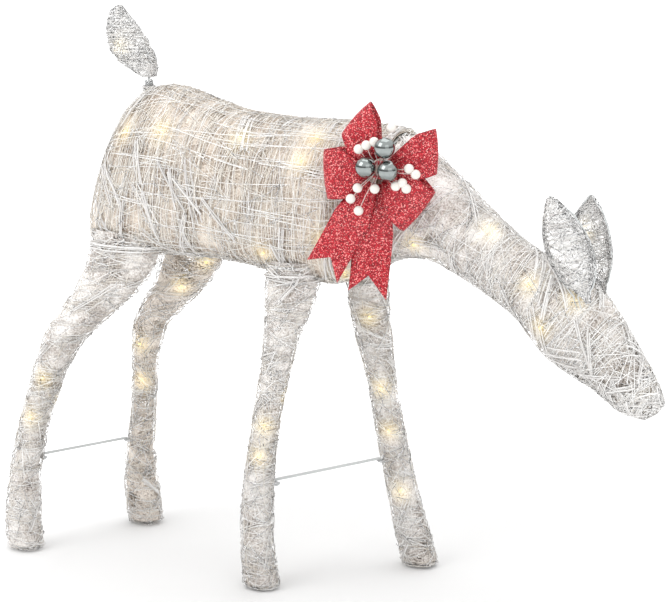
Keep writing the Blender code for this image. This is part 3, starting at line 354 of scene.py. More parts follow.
def add_sum(tree, source, gain, offset):
    """Scales and shifts a value by a fixed gain and by a constant or another value."""
    node = tree.nodes.new("ShaderNodeMath")
    node.operation = "MULTIPLY_ADD"
    tree.links.new(source, node.inputs[0])
    node.inputs[1].default_value = gain
    if isinstance(offset, float):
        node.inputs[2].default_value = offset
    else:
        tree.links.new(offset, node.inputs[2])
    return node.outputs[0]


def add_cells(tree, scale):
    """A random value for each small cell, as crushed foil or glitter grains have."""
    coordinates = tree.nodes.new("ShaderNodeTexCoord")
    cells = tree.nodes.new("ShaderNodeTexVoronoi")
    cells.inputs["Scale"].default_value = scale
    tree.links.new(coordinates.outputs["Object"], cells.inputs["Vector"])
    parts = tree.nodes.new("ShaderNodeSeparateColor")
    tree.links.new(cells.outputs["Color"], parts.inputs["Color"])
    return parts.outputs["Red"]


def add_painted_lamp_light(tree, shader, strength):
    """Painted warm lamp light on the threads near each lamp, as emission from the piece's own attribute."""
    shader.inputs["Emission Color"].default_value = WARM_LIGHT
    painted_lamp_light = add_sum(tree, add_attribute(tree, "painted_lamp_light"), strength, 0.0)
    tree.links.new(painted_lamp_light, shader.inputs["Emission Strength"])


def thread_material(name, dark, middle, pale, roughness, painted_lamp_light, speckle):
    """Spun thread: its own tint, broken up by grains along it, with painted lamp light near the lamps."""
    material, shader, tree = new_material(name)
    grains = add_sum(tree, add_noise(tree, 520.0, 3.0), speckle, -0.5 * speckle)
    tinted = add_sum(tree, add_attribute(tree, "tint"), 1.0, grains)
    colour = add_ramp(tree, tinted, ((0.0, dark), (0.45, middle), (1.0, pale)))
    tree.links.new(colour, shader.inputs["Base Color"])
    shader.inputs["Roughness"].default_value = roughness
    shader.inputs["Sheen Weight"].default_value = 0.15
    add_bump(tree, shader, add_noise(tree, 2600.0, 2.0), 0.5, 0.0003)
    add_painted_lamp_light(tree, shader, painted_lamp_light)
    return material


def glitter_material(name, dark, pale):
    """Metal thread: crushed facets, each painted between dark shade and a pale glint, so they seem to flash
    one by one.
    """
    material, shader, tree = new_material(name)
    facet_glint_and_shade = add_cells(tree, 620.0)
    tree.links.new(add_ramp(tree, facet_glint_and_shade, ((0.25, dark), (0.60, pale))), shader.inputs["Base Color"])
    shader.inputs["Metallic"].default_value = 0.70
    shader.inputs["Roughness"].default_value = 0.26
    add_bump(tree, shader, facet_glint_and_shade, 0.9, 0.0006)
    return material


def veil_material(name, shaded_gap, thread, cover, painted_lamp_light):
    """The deeper turns of thread: fine and coarse blotches with open gaps between them; the darker gap colour
    at their edges is painted shade of the hollow inside, and there is painted lamp light near the lamps.
    """
    material, shader, tree = new_material(name)
    blotches = add_sum(tree, add_noise(tree, 22.0, 2.0), 0.9, -0.45)
    mixed = add_sum(tree, add_noise(tree, 360.0, 4.0), 1.0, blotches)
    tree.links.new(add_ramp(tree, mixed, ((0.34, shaded_gap), (0.62, thread))), shader.inputs["Base Color"])
    shader.inputs["Roughness"].default_value = 0.7
    opening = add_ramp(tree, mixed, ((cover, (0, 0, 0)), (cover + 0.05, (1, 1, 1))))
    tree.links.new(opening, shader.inputs["Alpha"])
    add_bump(tree, shader, mixed, 0.5, 0.0010)
    add_painted_lamp_light(tree, shader, painted_lamp_light)
    return material


def ribbon_material():
    """Red ribbon covered in glitter grains of random tone, a few of them painted pale pink as glints."""
    material, shader, tree = new_material("red_glitter_ribbon")
    grains = add_cells(tree, 780.0)
    # the last, pale pink stop is a painted glint on a few grains
    colour = add_ramp(tree, grains, ((0.10, (0.13, 0.001, 0.005)), (0.46, (0.44, 0.005, 0.018)),
                                     (0.80, (0.62, 0.016, 0.032)), (0.94, (1.0, 0.40, 0.38))))
    tree.links.new(colour, shader.inputs["Base Color"])
    shader.inputs["Roughness"].default_value = 0.42
    shader.inputs["Metallic"].default_value = 0.15
    add_bump(tree, shader, grains, 0.7, 0.0008)
    return material


def plain_material(name, colour, roughness, metallic=0.0, grain=300.0, emission=0.0):
    """Coated wire, moulded plastic, steel, pearl or mirror, with its own slight variation."""
    material, shader, tree = new_material(name)
    low = tuple(c * 0.90 for c in colour)
    mixed = add_noise(tree, grain)
    tree.links.new(add_ramp(tree, mixed, ((0.35, low), (0.65, colour))), shader.inputs["Base Color"])
    shader.inputs["Roughness"].default_value = roughness
    shader.inputs["Metallic"].default_value = metallic
    add_bump(tree, shader, mixed, 0.12, 0.0003)
    if emission:
        shader.inputs["Emission Color"].default_value = WARM_LIGHT
        shader.inputs["Emission Strength"].default_value = emission
    return material


def make_looks():
    """Materials of the winding: threads and flat strips, metal threads with painted glints, skins with
    painted shade in their gaps, and lit lenses; threads, strips and skins carry painted lamp light.
    """
    return {
        "cream": thread_material("thread_cream", (0.49, 0.43, 0.38), (0.77, 0.72, 0.65), (0.92, 0.89, 0.83),
                                 0.5, 0.30, 1.8),
        "white": thread_material("thread_white", (0.50, 0.47, 0.45), (0.83, 0.815, 0.795),
                                 (0.97, 0.965, 0.95), 0.46, 0.30, 1.8),
        "strip": thread_material("flat_strip", (0.54, 0.52, 0.505), (0.69, 0.67, 0.65), (0.81, 0.80, 0.785),
                                 0.40, 0.20, 0.9),
        "silver": glitter_material("silver_thread", (0.20, 0.197, 0.195), (0.98, 0.98, 0.98)),
        # each skin's first colour is painted shade of the hollow seen in its gaps; the second is its thread
        # colour
        "body_shaded_gaps": veil_material("body_shaded_gaps", (0.43, 0.35, 0.285), (0.85, 0.77, 0.68), 0.20, 0.38),
        "pale_shaded_gaps": veil_material("pale_shaded_gaps", (0.44, 0.39, 0.355), (0.92, 0.89, 0.86), 0.24, 0.32),
        "brown_shaded_gaps": veil_material("brown_shaded_gaps", (0.40, 0.32, 0.265), (0.90, 0.83, 0.755), 0.38, 0.45),
        "open_shaded_gaps": veil_material("open_shaded_gaps", (0.50, 0.49, 0.48), (0.88, 0.875, 0.87), 0.46, 0.30),
        "lamp": plain_material("lit_lens", (1.0, 0.90, 0.62), 0.15, emission=0.7),
    }


def dress_nodes():
    """Procedural materials on the CAD nodes whose shape is kept."""
    looks = {
        "white_wire": plain_material("coated_wire", (0.60, 0.62, 0.62), 0.30, grain=500.0),
        "lights": plain_material("lamp_string", (0.86, 0.84, 0.78), 0.30, emission=0.15),
        "steel": plain_material("zinc_steel", (0.62, 0.62, 0.63), 0.34, 0.9, grain=900.0),
        "white_plastic": plain_material("moulded_plastic", (0.88, 0.88, 0.86), 0.42),
    }
    slots = {row["node"]: row["material_slot"] for row in frame["record"]["subparts"]}
    for name, node in frame["nodes"].items():
        material = looks.get(slots[name])
        if material is None:
            continue
        if not node.material_slots:
            node.data.materials.append(material)
        for slot in node.material_slots:
            slot.material = material


# ------------------------------------------------------------------ meshes

def add_piece(name, points, faces, material, body=BODY, slot="thread", attributes=None):
    """A piece from numpy points and equal-sided faces, riding on its body."""
    mesh = bpy.data.meshes.new(name)
    faces = np.asarray(faces, np.int32)
    points = np.array(points, np.float32)
    points[:, 2] = np.maximum(points[:, 2], LOWEST)
    mesh.vertices.add(len(points))
    mesh.vertices.foreach_set("co", points.ravel())
    mesh.loops.add(faces.size)
    mesh.loops.foreach_set("vertex_index", faces.ravel())
    mesh.polygons.add(len(faces))
    mesh.polygons.foreach_set("loop_start", np.arange(0, faces.size, faces.shape[1], dtype=np.int32))
    mesh.update(calc_edges=True)
    mesh.shade_smooth()
    for key, values in (attributes or {}).items():
        layer = mesh.attributes.new(key, "FLOAT", "POINT")
        layer.data.foreach_set("value", np.asarray(values, np.float32))
    mesh.materials.append(material)
    piece = bpy.data.objects.new(name, mesh)
    bpy.context.scene.collection.objects.link(piece)
    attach(piece, body)
    return piece


def unit(vectors):
    return vectors / np.maximum(np.linalg.norm(vectors, axis=-1, keepdims=True), 1e-9)


def tube_faces(rows, columns):
    """Quads along a grid of points whose rows close on themselves."""
    index = np.arange(rows * columns).reshape(rows, columns)
    onward = np.roll(index, -1, 1)
    return np.stack([index[:-1], onward[:-1], onward[1:], index[1:]], axis=-1).reshape(-1, 4)


def joined(parts):
    """Several pairs of points and faces as one pair."""
    starts = np.cumsum([0] + [len(points) for points, _ in parts[:-1]])
    return (np.concatenate([points for points, _ in parts]),
            np.concatenate([faces + start for (_, faces), start in zip(parts, starts)]))


def sweep(paths, normals, profile, closed=False):
    """One section carried along many paths: paths and normals are (strand, step, xyz)."""
    ahead = np.roll(paths, -1, 1) - np.roll(paths, 1, 1) if closed else np.gradient(paths, axis=1)
    side = unit(np.cross(normals, ahead))
    rise = unit(np.cross(ahead, side))
    rings = np.stack([paths + side * a + rise * b for a, b in profile], axis=2)
    strands, steps, corners = rings.shape[:3]
    index = np.arange(strands * steps * corners).reshape(strands, steps, corners)
    onward = np.roll(index, -1, 1) if closed else index[:, 1:]
    here = index if closed else index[:, :-1]
    faces = np.stack([here, np.roll(here, -1, 2), np.roll(onward, -1, 2), onward], axis=-1)
    return rings.reshape(-1, 3), faces.reshape(-1, 4), steps * corners


def turned(centre, axis, profile, sides, reference=(0.31, 0.87, 0.21)):
    """Rings of a profile (radius, rise) turned about an axis."""
    axis = unit(np.asarray(axis, float))
    first = unit(np.cross(axis, reference))
    second = np.cross(axis, first)
    points = []
    for radius, rise in profile:
        for k in range(sides):
            a = 2 * math.pi * k / sides
            points.append(centre + axis * rise + (first * math.cos(a) + second * math.sin(a)) * radius)
    return np.array(points), tube_faces(len(profile), sides)


def round_profile(radius, corners=3):
    turns = 2 * np.pi * np.arange(corners) / corners + 0.5
    return [(radius * math.cos(a), radius * math.sin(a)) for a in turns]


def strip_profile(width, thickness):
    a, b = width / 2, thickness / 2
    return [(-a, -b), (a, -b), (a, b), (-a, b)]


def ball_profile(radius, steps):
    """Radius and rise from one pole nearly to the other, where the last ring closes the ball."""
    angles = [math.pi * k / steps for k in range(steps)]
    return [(radius * math.sin(a) + 1e-5, -radius * math.cos(a)) for a in angles] + [(1e-5, radius * 0.995)]


# ------------------------------------------------------------------ wound surfaces

class Patch:
    """A surface that is closed round, read from a CAD wrap: u runs along it from 0 to 1, v round it."""

    def __init__(self, points, normals):
        self.points = points
        self.normals = normals
        steps = np.diff(points.mean(axis=1), axis=0)
        self.length = float(np.linalg.norm(steps, axis=1).sum())
        round_steps = np.linalg.norm(np.roll(points, -1, 1) - points, axis=2)
        self.girth = float(round_steps.sum(axis=1).mean())

    def at(self, u, v, lift):
        """Points and normals on the surface for arrays of u and v."""
        rows, columns = self.points.shape[:2]
        a = np.clip(u, 0.0, 1.0) * (rows - 1)
        b = np.mod(v, 1.0) * columns
        i = np.minimum(a.astype(int), rows - 2)
        j = b.astype(int) % columns
        k = (j + 1) % columns
        s, t = (a - i)[..., None], (b - np.floor(b))[..., None]

        def mix(grid):
            low = grid[i, j] * (1 - t) + grid[i, k] * t
            high = grid[i + 1, j] * (1 - t) + grid[i + 1, k] * t
            return low * (1 - s) + high * s
        normal = unit(mix(self.normals))
        return mix(self.points) + normal * np.asarray(lift)[..., None], normal

    def at_places(self, places, lift):
        """Points and normals at (share of the way along, degrees round) places."""
        u = np.array([[place[0]] for place in places])
        v = np.array([[place[1] / 360.0] for place in places])
        points, normals = self.at(u, v, lift)
        return points[:, 0], normals[:, 0]


def end_rows(ring, out, steps):
    """Copies of an end's ring, each shrunk to a share of its size and pushed out."""
    middle = ring.mean(axis=0)
    return [middle + (ring - middle) * share + out * push for share, push in steps]


def patch_from_rays(centres, rays, radii, ends):
    """A patch through the ends of rays from a row of centres, with its ends rounded off."""
    points = centres[:, None, :] + rays * radii[:, :, None]
    if "first" in ends:
        out = unit(points[0].mean(axis=0) - centres[1])
        points = np.concatenate([np.array(end_rows(points[0], out, ends["first"])[::-1]), points])
    if "last" in ends:
        out = unit(points[-1].mean(axis=0) - centres[-2])
        points = np.concatenate([points, np.array(end_rows(points[-1], out, ends["last"]))])
    along = np.gradient(points, axis=0)
    around = np.roll(points, -1, 1) - np.roll(points, 1, 1)
    normals = unit(np.cross(around, along))
    outward = points - points.mean(axis=1, keepdims=True)
    return Patch(points, normals * np.sign((normals * outward).sum()))


def mesh_arrays(node):
    mesh = frame["nodes"][node].data
    points = np.zeros(len(mesh.vertices) * 3)
    mesh.vertices.foreach_get("co", points)
    edges = np.zeros(len(mesh.edges) * 2, int)
    mesh.edges.foreach_get("vertices", edges)
    return points.reshape(-1, 3), edges.reshape(-1, 2)


def node_tree(node):
    mesh = frame["nodes"][node].data
    return BVHTree.FromPolygons([v.co for v in mesh.vertices], [tuple(p.vertices) for p in mesh.polygons])


def smooth_rows(values, passes):
    for _ in range(passes):
        middle = (values[:-2] + 2 * values[1:-1] + values[2:]) / 4
        values = np.concatenate([values[:1], middle, values[-1:]])
        values = (np.roll(values, 1, 1) + 2 * values + np.roll(values, -1, 1)) / 4
    return values


def read_patch(node, centres, across, up, longest, ends):
    """Casts out from each section's middle to the wrap; openings are bridged along the piece."""
    tree = node_tree(node)
    angles = (2 * np.pi * np.arange(ROUND_COLUMNS) / ROUND_COLUMNS)[None, :, None]
    rays = across[:, None, :] * np.cos(angles) + up[:, None, :] * np.sin(angles)
    radii = np.full(rays.shape[:2], np.nan)
    for i in range(len(centres)):
        for j in range(ROUND_COLUMNS):
            hit = tree.ray_cast(Vector(centres[i]), Vector(rays[i, j]), longest)
            if hit[0] is not None:
                radii[i, j] = hit[3] + WALL
    rows = np.arange(len(centres))
    for j in range(ROUND_COLUMNS):
        found = ~np.isnan(radii[:, j])
        radii[:, j] = np.interp(rows, rows[found], radii[found, j]) if found.any() else longest / 3
    return patch_from_rays(centres, rays, smooth_rows(radii, SMOOTHING), ends)


def guided_patch(node, guide, longest, ends):
    """A patch along (top, bottom) guide lines in the plane of symmetry."""
    given = np.linspace(0, 1, len(guide))
    at = np.linspace(0.004, 0.996, LONG_ROWS)
    values = np.array([[*top, *low] for top, low in guide])
    lines = np.stack([np.interp(at, given, values[:, k]) for k in range(4)], axis=1)
    middle_y = np.full(LONG_ROWS, MIDDLE_Y)
    top = np.stack([lines[:, 0], middle_y, lines[:, 1]], axis=1)
    low = np.stack([lines[:, 2], middle_y, lines[:, 3]], axis=1)
    across = np.tile([0.0, 1.0, 0.0], (LONG_ROWS, 1))
    return read_patch(node, (top + low) / 2, across, unit(top - low), longest, ends)


def crossings(points, edges, axis, level):
    """Where a node's edges cross a plane across the axis."""
    a, b = points[edges[:, 0]], points[edges[:, 1]]
    near, far = a @ axis - level, b @ axis - level
    cut = near * far < 0
    share = near[cut] / (near[cut] - far[cut])
    return a[cut] + (b[cut] - a[cut]) * share[:, None]


def upright_patch(node, low, seam, high, rows, longest, ends):
    """A patch up a leg or the tail, level sections about the wrap's middle, run on past its seam."""
    points, edges = mesh_arrays(node)
    levels, middles = [], []
    for level in np.linspace(low, high, rows):
        found = crossings(points, edges, np.array([0.0, 0.0, 1.0]), min(level, seam))
        if len(found) >= 4:
            levels.append(level)
            middles.append((found.min(axis=0) + found.max(axis=0)) / 2)
    middles = np.array(middles)
    middles[:, 2] = levels
    beyond = middles[:, 2] > seam
    below = middles[~beyond]
    slope = (below[-1] - below[-8]) / (below[-1, 2] - below[-8, 2])
    middles[beyond] = below[-1] + slope * (middles[beyond, 2:3] - below[-1, 2])
    across = np.tile([0.0, 1.0, 0.0], (len(middles), 1))
    up = np.tile([1.0, 0.0, 0.0], (len(middles), 1))
    return read_patch(node, middles, across, up, longest, ends)


def ear_ring(tree, middle, axes, level, spread):
    """Points on the front and then the back of an ear at one level; nan where a ray misses."""
    length, width, depth = axes
    ring = []
    for sign in (1, -1):
        for place in spread[::sign]:
            start = middle + length * level + width * place + depth * sign * EAR_CAST_FROM
            hit = tree.ray_cast(Vector(start), Vector(-depth * sign), 2 * EAR_CAST_FROM)
            ring.append(np.array(hit[0]) if hit[0] is not None else np.full(3, np.nan))
    ring = np.array(ring)
    lost = np.isnan(ring[:, 0])
    if lost.any() and not lost.all():
        seen = np.where(~lost)[0]
        for j in np.where(lost)[0]:
            ring[j] = ring[seen[np.abs(seen - j).argmin()]]
    return ring


def ear_patch(node):
    """A flat ring round each section of a cupped ear, following both of its faces."""
    points, edges = mesh_arrays(node)
    middle = points.mean(axis=0)
    points = points - middle
    _, _, (length, width, depth) = np.linalg.svd(points, full_matrices=False)
    if length[2] < 0:
        length = -length
    tree = node_tree(node)
    reach = points @ length
    half_columns = ROUND_COLUMNS // 2
    rings = []
    for level in np.linspace(reach.min() + 0.004, reach.max() - 0.003, EAR_ROWS):
        sides = crossings(points, edges, length, level) @ width
        spread = np.linspace(sides.min() * EAR_RIM, sides.max() * EAR_RIM, half_columns)
        rings.append(ear_ring(tree, middle, (length, width, depth), level, spread))
    rings = np.array(rings)
    outward = ((rings - middle) @ width)[..., None] * width
    onward = ((rings - middle) @ length)[..., None] * length
    rings = smooth_rows(rings + outward * EAR_OVERHANG + onward * EAR_OVERHANG / 2, 1)
    below = np.array(end_rows(rings[0], -length, EAR_ROOT_ROWS))
    above = np.array(end_rows(rings[-1], length, EAR_TIP_ROWS))
    points = np.concatenate([below, rings, above])
    facing = np.concatenate([np.tile(depth, (half_columns, 1)), np.tile(-depth, (half_columns, 1))])
    return Patch(points, np.tile(facing, (len(points), 1, 1)))


# ------------------------------------------------------------------ winding

# Painted lamp light: a strength at each point that falls off with distance from the lamps, capped at its
# most.
def painted_lamp_light_at(points, lamps):
    painted_lamp_light = np.zeros(len(points), np.float32)
    for lamp in lamps:
        distance = ((points - lamp) ** 2).sum(axis=1)
        painted_lamp_light += np.exp(-distance / PAINTED_LIGHT_REACH ** 2)
    return np.minimum(painted_lamp_light, MOST_PAINTED_LIGHT)


def ring_paths(count, corners, slant, zone):
    """Closed turns, laid as straight chords from corner to corner."""
    jitter = RNG.uniform(-0.35, 0.35, (count, corners))
    v = (np.arange(corners) + RNG.uniform(0, 1, (count, 1)) + jitter) / corners
    start = RNG.uniform(zone[0], zone[1], (count, 1))
    lean = RNG.normal(0, slant, (count, 1))
    u = start + lean * np.sin(2 * np.pi * v + RNG.uniform(0, 7, (count, 1)))
    return u, v


def straight_paths(patch, count, corners, degrees, lengths, zone, bundle):
    """Short straight runs, side by side in bundles; degrees is their angle from the turns."""
    along = np.linspace(-0.5, 0.5, corners)[None, :]
    groups = count // bundle

    def shared(low, high, spread):
        values = np.repeat(RNG.uniform(low, high, (groups, 1)), bundle, axis=0)
        return values + RNG.uniform(-spread, spread, values.shape)
    angle = np.radians(shared(*degrees, 2.5))
    length = shared(*lengths, 0.1 * lengths[0])
    u = shared(zone[0], zone[1], BUNDLE_SPREAD / patch.length)
    v = shared(zone[2] / 360, zone[3] / 360, BUNDLE_SPREAD / patch.girth)
    return (u + along * length * np.sin(angle) / patch.length,
            v + along * length * np.cos(angle) / patch.girth)


def wind(name, patch, layers, looks, lamps, body, rough):
    """All layers of winding on one patch: rings go right round, runs and bands are short and straight."""
    for place, (manner, count, corners, strand, top, tint, *shape) in enumerate(layers):
        closed = manner == "ring"
        if closed:
            u, v = ring_paths(count, corners, *shape)
        else:
            u, v = straight_paths(patch, count, corners, *shape, BUNDLES[manner])
        count = len(u)
        lift = RNG.uniform(0.0, top, (count, 1)) + np.abs(RNG.normal(0, rough, (count, corners)))
        tints = np.clip(RNG.normal(tint, TINT_SPREAD, count), 0, 1)
        profile, look = STRANDS[strand]
        paths, normals = patch.at(np.clip(u, 0.001, 0.999), v, lift)
        points, faces, per_strand = sweep(paths, normals, profile, closed)
        # each strand keeps its tint and the painted lamp light near the lamps
        add_piece(f"{name}_{manner}_{place}", points, faces, looks[look], body,
                  attributes={"tint": np.repeat(tints, per_strand), "painted_lamp_light": painted_lamp_light_at(points, lamps)})


def veil(name, patch, node, material, lamps, body, depth):
    """The first turns, a skin just inside the surface that stands for the CAD wall."""
    points = (patch.points - patch.normals * depth).reshape(-1, 3)
    # the skin carries painted lamp light near the lamps
    piece = add_piece(name, points, tube_faces(*patch.points.shape[:2]), material, body,
                      attributes={"painted_lamp_light": painted_lamp_light_at(points, lamps), "tint": np.full(len(points), 0.5)})
    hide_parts(node)


def add_lenses(name, patch, places, material):
    """A small lens with a husk at each place, pointing out through the threads."""
    centres, normals = patch.at_places(places, 0.0)
    lenses = [turned(centre, normal, LENS_PROFILE, LENS_SIDES, reference=(0.31, 0.17, 0.93))
              for centre, normal in zip(centres, normals)]
    add_piece(name, *joined(lenses), material, slot="lights")


def cover(name, patch, node, shaded_gaps, depth, layers, places, looks, body=BODY, rough=WRAP_ROUGH):
    """Skin and winding of one wrap, with painted shade in the skin's gaps and painted lamp light round its
    lamps, if it has any.
    """
    lamps = patch.at_places(places, -0.001)[0] if places else []
    veil(name + "_shaded_gap_veil", patch, node, looks[shaded_gaps], lamps, body, depth)
    wind(name, patch, layers, looks, lamps, body, rough)


# ------------------------------------------------------------------ body, neck, legs, tail and ears

def make_body(looks):
    patch = guided_patch("body_wrap", BODY_GUIDE, BODY_REACH, BODY_ENDS)
    cover("body", patch, "body_wrap", "body_shaded_gaps", 0.0045, BODY_LAYERS, BODY_LAMPS, looks)
    add_lenses("body_lenses", patch, BODY_LAMPS, looks["lamp"])


def make_neck(looks):
    patch = guided_patch("neck_head_wrap", NECK_GUIDE, NECK_REACH, NECK_ENDS)
    cover("neck_head", patch, "neck_head_wrap", "pale_shaded_gaps", 0.0035, NECK_LAYERS, NECK_LAMPS, looks)
    add_lenses("neck_head_lenses", patch, NECK_LAMPS, looks["lamp"])


def leg_layers(share):
    """Winding of a leg; the share thins out its thick threads and strips."""
    return (
        ("ring", int(95 * share), 8, "white", 0.0008, 0.52, 0.020, WHOLE),
        ("ring", 50, 9, "fine_cream", 0.0014, 0.50, 0.020, WHOLE),
        ("run", int(220 * share), 4, "white", 0.0016, 0.58, ANY_ANGLE, (0.015, 0.06), WHOLE),
        ("run", 70, 5, "fine_cream", 0.0014, 0.55, SIDEWAYS, (0.04, 0.14), WHOLE),
        ("run", 380, 4, "silver", 0.0018, 0.50, ANY_ANGLE, (0.010, 0.035), WHOLE),
        ("band", int(45 * share), 4, "leg_strip", 0.0024, 0.60, ANY_ANGLE, (0.03, 0.07), WHOLE),
        ("ring", 5, 14, "leg_strip", 0.0026, 0.80, 0.003, LEG_SEAM_BAND))


def make_legs(looks):
    for leg, places in LEG_LAMPS.items():
        node = leg + "_leg_wrap"
        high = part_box(node)[1].z - LEG_TOP_GAP
        patch = upright_patch(node, LEG_LOW, LEG_SEAM, high, LONG_ROWS, LEG_REACH, FOOT_ENDS)
        # the open leg gets a more open skin with browner painted shade in its gaps, and thinner winding
        shaded_gaps, share = ("brown_shaded_gaps", OPEN_SHARE) if leg == OPEN_LEG else ("pale_shaded_gaps", 1.0)
        cover(leg + "_leg", patch, node, shaded_gaps, 0.003, leg_layers(share), places, looks, rough=LEG_ROUGH)
        add_lenses(leg + "_leg_lenses", patch, places, looks["lamp"])


def make_tail(looks):
    low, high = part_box("tail_wrap")
    patch = upright_patch("tail_wrap", low.z + 0.002, high.z, high.z - 0.003, TAIL_ROWS, TAIL_REACH,
                          TAIL_ENDS)
    cover("tail", patch, "tail_wrap", "open_shaded_gaps", 0.0006, TAIL_LAYERS, TAIL_LAMPS, looks, "tail", TAIL_ROUGH)


def make_tail_collar(looks):
    """Thread wound round the tail's bracket, from the rump up to just under its eyes."""
    low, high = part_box("tail_bracket")
    levels = np.linspace(low.z + 0.001, high.z - COLLAR_GAP, COLLAR_ROWS)
    centres = np.array([((low.x + high.x) / 2, MIDDLE_Y, level) for level in levels])
    angles = 2 * np.pi * np.arange(ROUND_COLUMNS) / ROUND_COLUMNS
    ring = np.stack([COLLAR_HALF_LENGTH * np.sin(angles), COLLAR_HALF_WIDTH * np.cos(angles), 0 * angles],
                    axis=1)
    patch = patch_from_rays(centres, np.tile(ring, (COLLAR_ROWS, 1, 1)),
                            np.ones((COLLAR_ROWS, ROUND_COLUMNS)), {})
    wind("tail_collar", patch, COLLAR_LAYERS, looks, [], BODY, COLLAR_ROUGH)


def make_ears(looks):
    for side, places in EAR_LAMPS.items():
        node = side + "_ear_wrap"
        cover(side + "_ear", ear_patch(node), node, "open_shaded_gaps", 0.0, EAR_LAYERS, places, looks,
              rough=EAR_ROUGH)


# ------------------------------------------------------------------ bow

def bow_facing():
    return np.array((math.sin(BOW_TURN), -math.cos(BOW_TURN), 0.0))


def bow_point(right, up, out):
    """A point by its distances right, up and out from just behind the knot's middle."""
    low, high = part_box("bow_knot")
    across = np.array((math.cos(BOW_TURN), math.sin(BOW_TURN), 0.0))
    centre = np.array((low + high) / 2) - bow_facing() * 0.001
    return centre + across * right + np.array((0, 0, 1.0)) * up + bow_facing() * out


def root_side_of(run, toward, share):
    """Half the ribbon's gathered width at the knot, across its run and turned the way of its far edge."""
    side = np.array((-run[1], run[0])) * RIBBON_WIDTH * share
    return -side if side @ toward < 0 else side


def pleat_depth(spread, across):
    return PLEAT_DEPTH * (1 - spread) * math.cos(3 * math.pi * across)


def ribbon_piece(name, rows, material, node):
    grid = np.array(rows)
    steps, columns = grid.shape[:2]
    index = np.arange(steps * columns).reshape(steps, columns)
    faces = np.stack([index[:-1, :-1], index[:-1, 1:], index[1:, 1:], index[1:, :-1]], axis=-1)
    piece = add_piece(name, grid.reshape(-1, 3), faces.reshape(-1, 4), material, slot="ribbon")
    solid = piece.modifiers.new("cloth", "SOLIDIFY")
    solid.thickness = RIBBON_THICKNESS
    solid.offset = 0.0
    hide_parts(node)


def ribbon_loop(name, first, second, depth, material):
    """Ribbon out from the knot to its far edge, over and back, pleated where it is bound."""
    first, second = np.array(first), np.array(second)
    edge, edge_side = (first + second) / 2, (second - first) / 2
    run = unit(edge)
    root_side = root_side_of(run, edge_side, LOOP_ROOT_SHARE)
    rows = []
    for k in range(LOOP_STEPS + 1):
        turn = math.radians(-90 + 180 * k / LOOP_STEPS)
        reach = max(math.cos(turn), 0.0)
        out_share = reach ** 0.6
        opened = min(1.0, out_share / 0.55)
        middle = run * LOOP_GATHER * (1 - out_share) + edge * out_share
        side = root_side * (1 - opened) + edge_side * opened
        out = depth / 2 * math.sin(turn) * (0.35 if k in (0, LOOP_STEPS) else 1.0)
        row = []
        for across in np.linspace(-1, 1, LOOP_COLUMNS):
            bulge = LOOP_BULGE * (1 - across ** 2) * reach
            curl = LOOP_CURL * opened * (across ** 2) * math.sin(turn)
            x, y = middle + side * across + run * bulge
            row.append(bow_point(x, y, out + pleat_depth(opened, across) + curl))
        rows.append(row)
    ribbon_piece("ribbon_loop_" + name, rows, material,
                 "bow_loop_" + name)


def ribbon_tail(name, first, second, notch, out_start, out_end, material):
    """Hanging end with a swallow-tail notch and a slow wave."""
    first, second, notch = np.array(first), np.array(second), np.array(notch)
    run = unit((first + second) / 2)
    root_side = root_side_of(run, second - first, TAIL_ROOT_SHARE)
    rows = []
    for k in range(TAIL_STEPS + 1):
        part = k / TAIL_STEPS
        opened = min(1.0, 0.10 + 2.2 * part)
        row = []
        for across in np.linspace(-1, 1, TAIL_COLUMNS):
            tip = first if across < 0 else second
            end = notch + (tip - notch) * abs(across)
            gathered = run * TAIL_START + root_side * across
            spread = run * TAIL_START + (second - first) / 2 * across
            start = gathered * (1 - opened) + spread * opened
            x, y = start * (1 - part) + end * part
            wave = TAIL_WAVE * math.sin(part * 7.0 + across) * part
            row.append(bow_point(x, y, out_start + out_end * part + wave + pleat_depth(opened, across)))
        rows.append(row)
    ribbon_piece("ribbon_tail_" + name, rows, material,
                 "bow_tail_" + name)


def make_knot(material):
    """Pleated band at the middle of the bow."""
    points = []
    for out, radius in KNOT_ROWS:
        for k in range(KNOT_SIDES):
            a = 2 * math.pi * k / KNOT_SIDES
            r = radius + KNOT_PLEAT_DEPTH * math.cos(KNOT_PLEATS * a)
            points.append(bow_point(r * math.cos(a), r * math.sin(a), out))
    faces = tube_faces(len(KNOT_ROWS), KNOT_SIDES)
    piece = add_piece("bow_knot_pleats", points, faces, material, slot="ribbon")
    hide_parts("bow_knot")


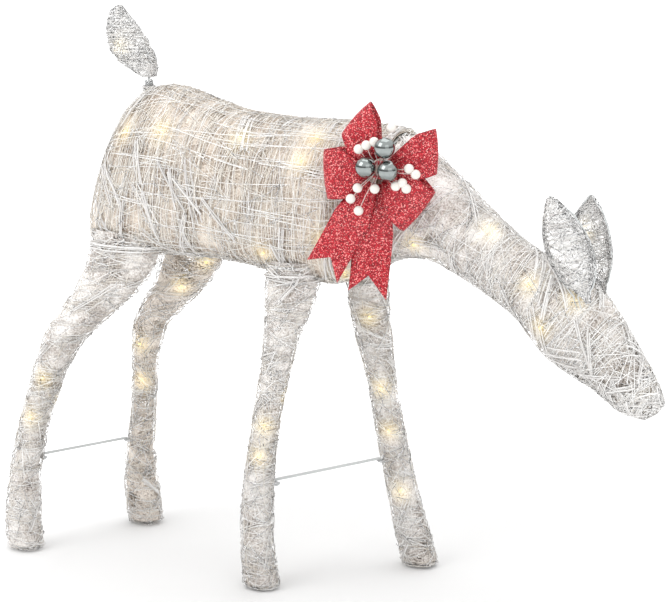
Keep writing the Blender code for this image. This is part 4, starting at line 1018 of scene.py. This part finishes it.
def make_balls(material):
    """Mirror balls, each with a small crimped cap toward the knot."""
    for number in (1, 2, 3):
        node = "bow_ball_%d" % number
        low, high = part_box(node)
        middle, radius = np.array((low + high) / 2), float(min(high - low)) / 2
        cap = [(0.0040, radius * 0.97), (0.0042, radius + 0.0008), (0.0026, radius + 0.0016),
               (1e-5, radius + 0.0018)]
        points, faces = turned(middle, bow_point(0, 0, 0.010) - middle, ball_profile(radius, 28)[:-2] + cap,
                               40)
        piece = add_piece("ornament_ball_%d" % number, points, faces, material, slot="silver_ball")
        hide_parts(node)


def make_sprigs(material):
    """Smooth berries, each on its own fine bent wire from the knot, replacing the CAD sprigs."""
    for name, berries in SPRIGS.items():
        parts = []
        for right, up, out in berries:
            centre = bow_point(right, up, out)
            root = bow_point(right * 0.16, up * 0.16, SPRIG_ROOT_OUT)
            bend = bow_point(right * 0.60, up * 0.60, out - 0.004)
            parts.append(turned(centre, centre - root, ball_profile(BERRY_RADIUS, 16), 24))
            path = np.array([root, (root + bend) / 2 + 0.0012, bend, centre])[None]
            normals = np.tile(bow_facing(), (1, 4, 1))
            parts.append(sweep(path, normals, round_profile(SPRIG_WIRE, 6))[:2])
        piece = add_piece("sprig_" + name, *joined(parts), material, slot="berry")
        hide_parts("bow_berries_" + name)


def make_bow():
    ribbon = ribbon_material()
    make_knot(ribbon)
    for name, shape in LOOPS.items():
        ribbon_loop(name, *shape, ribbon)
    for name, shape in TAILS.items():
        ribbon_tail(name, *shape, ribbon)
    make_balls(plain_material("mirror_ball", (0.30, 0.325, 0.32), 0.05, 1.0, grain=200.0))
    make_sprigs(plain_material("pearl_berry", (0.82, 0.78, 0.73), 0.25, grain=700.0))


# ------------------------------------------------------------------ assembly


# each kind of strand: its section and its look
STRANDS = {"cream": (round_profile(THREAD), "cream"),
           "fine_cream": (round_profile(FINE_THREAD), "cream"),
           "white": (round_profile(THREAD), "white"),
           "fine_white": (round_profile(FINE_THREAD), "white"),
           "silver": (round_profile(GLITTER), "silver"),
           "strip": (strip_profile(STRIP_WIDTH, STRIP_THICKNESS), "strip"),
           "leg_strip": (strip_profile(STRIP_WIDTH * LEG_STRIP_SHARE, STRIP_THICKNESS), "strip")}

make_camera()
make_sky()
for light, settings in LIGHTS.items():
    area_light(light, *settings)
make_floor()
dress_nodes()
LOOKS = make_looks()
make_body(LOOKS)
make_neck(LOOKS)
make_legs(LOOKS)
make_tail(LOOKS)
make_tail_collar(LOOKS)
make_ears(LOOKS)
make_bow()
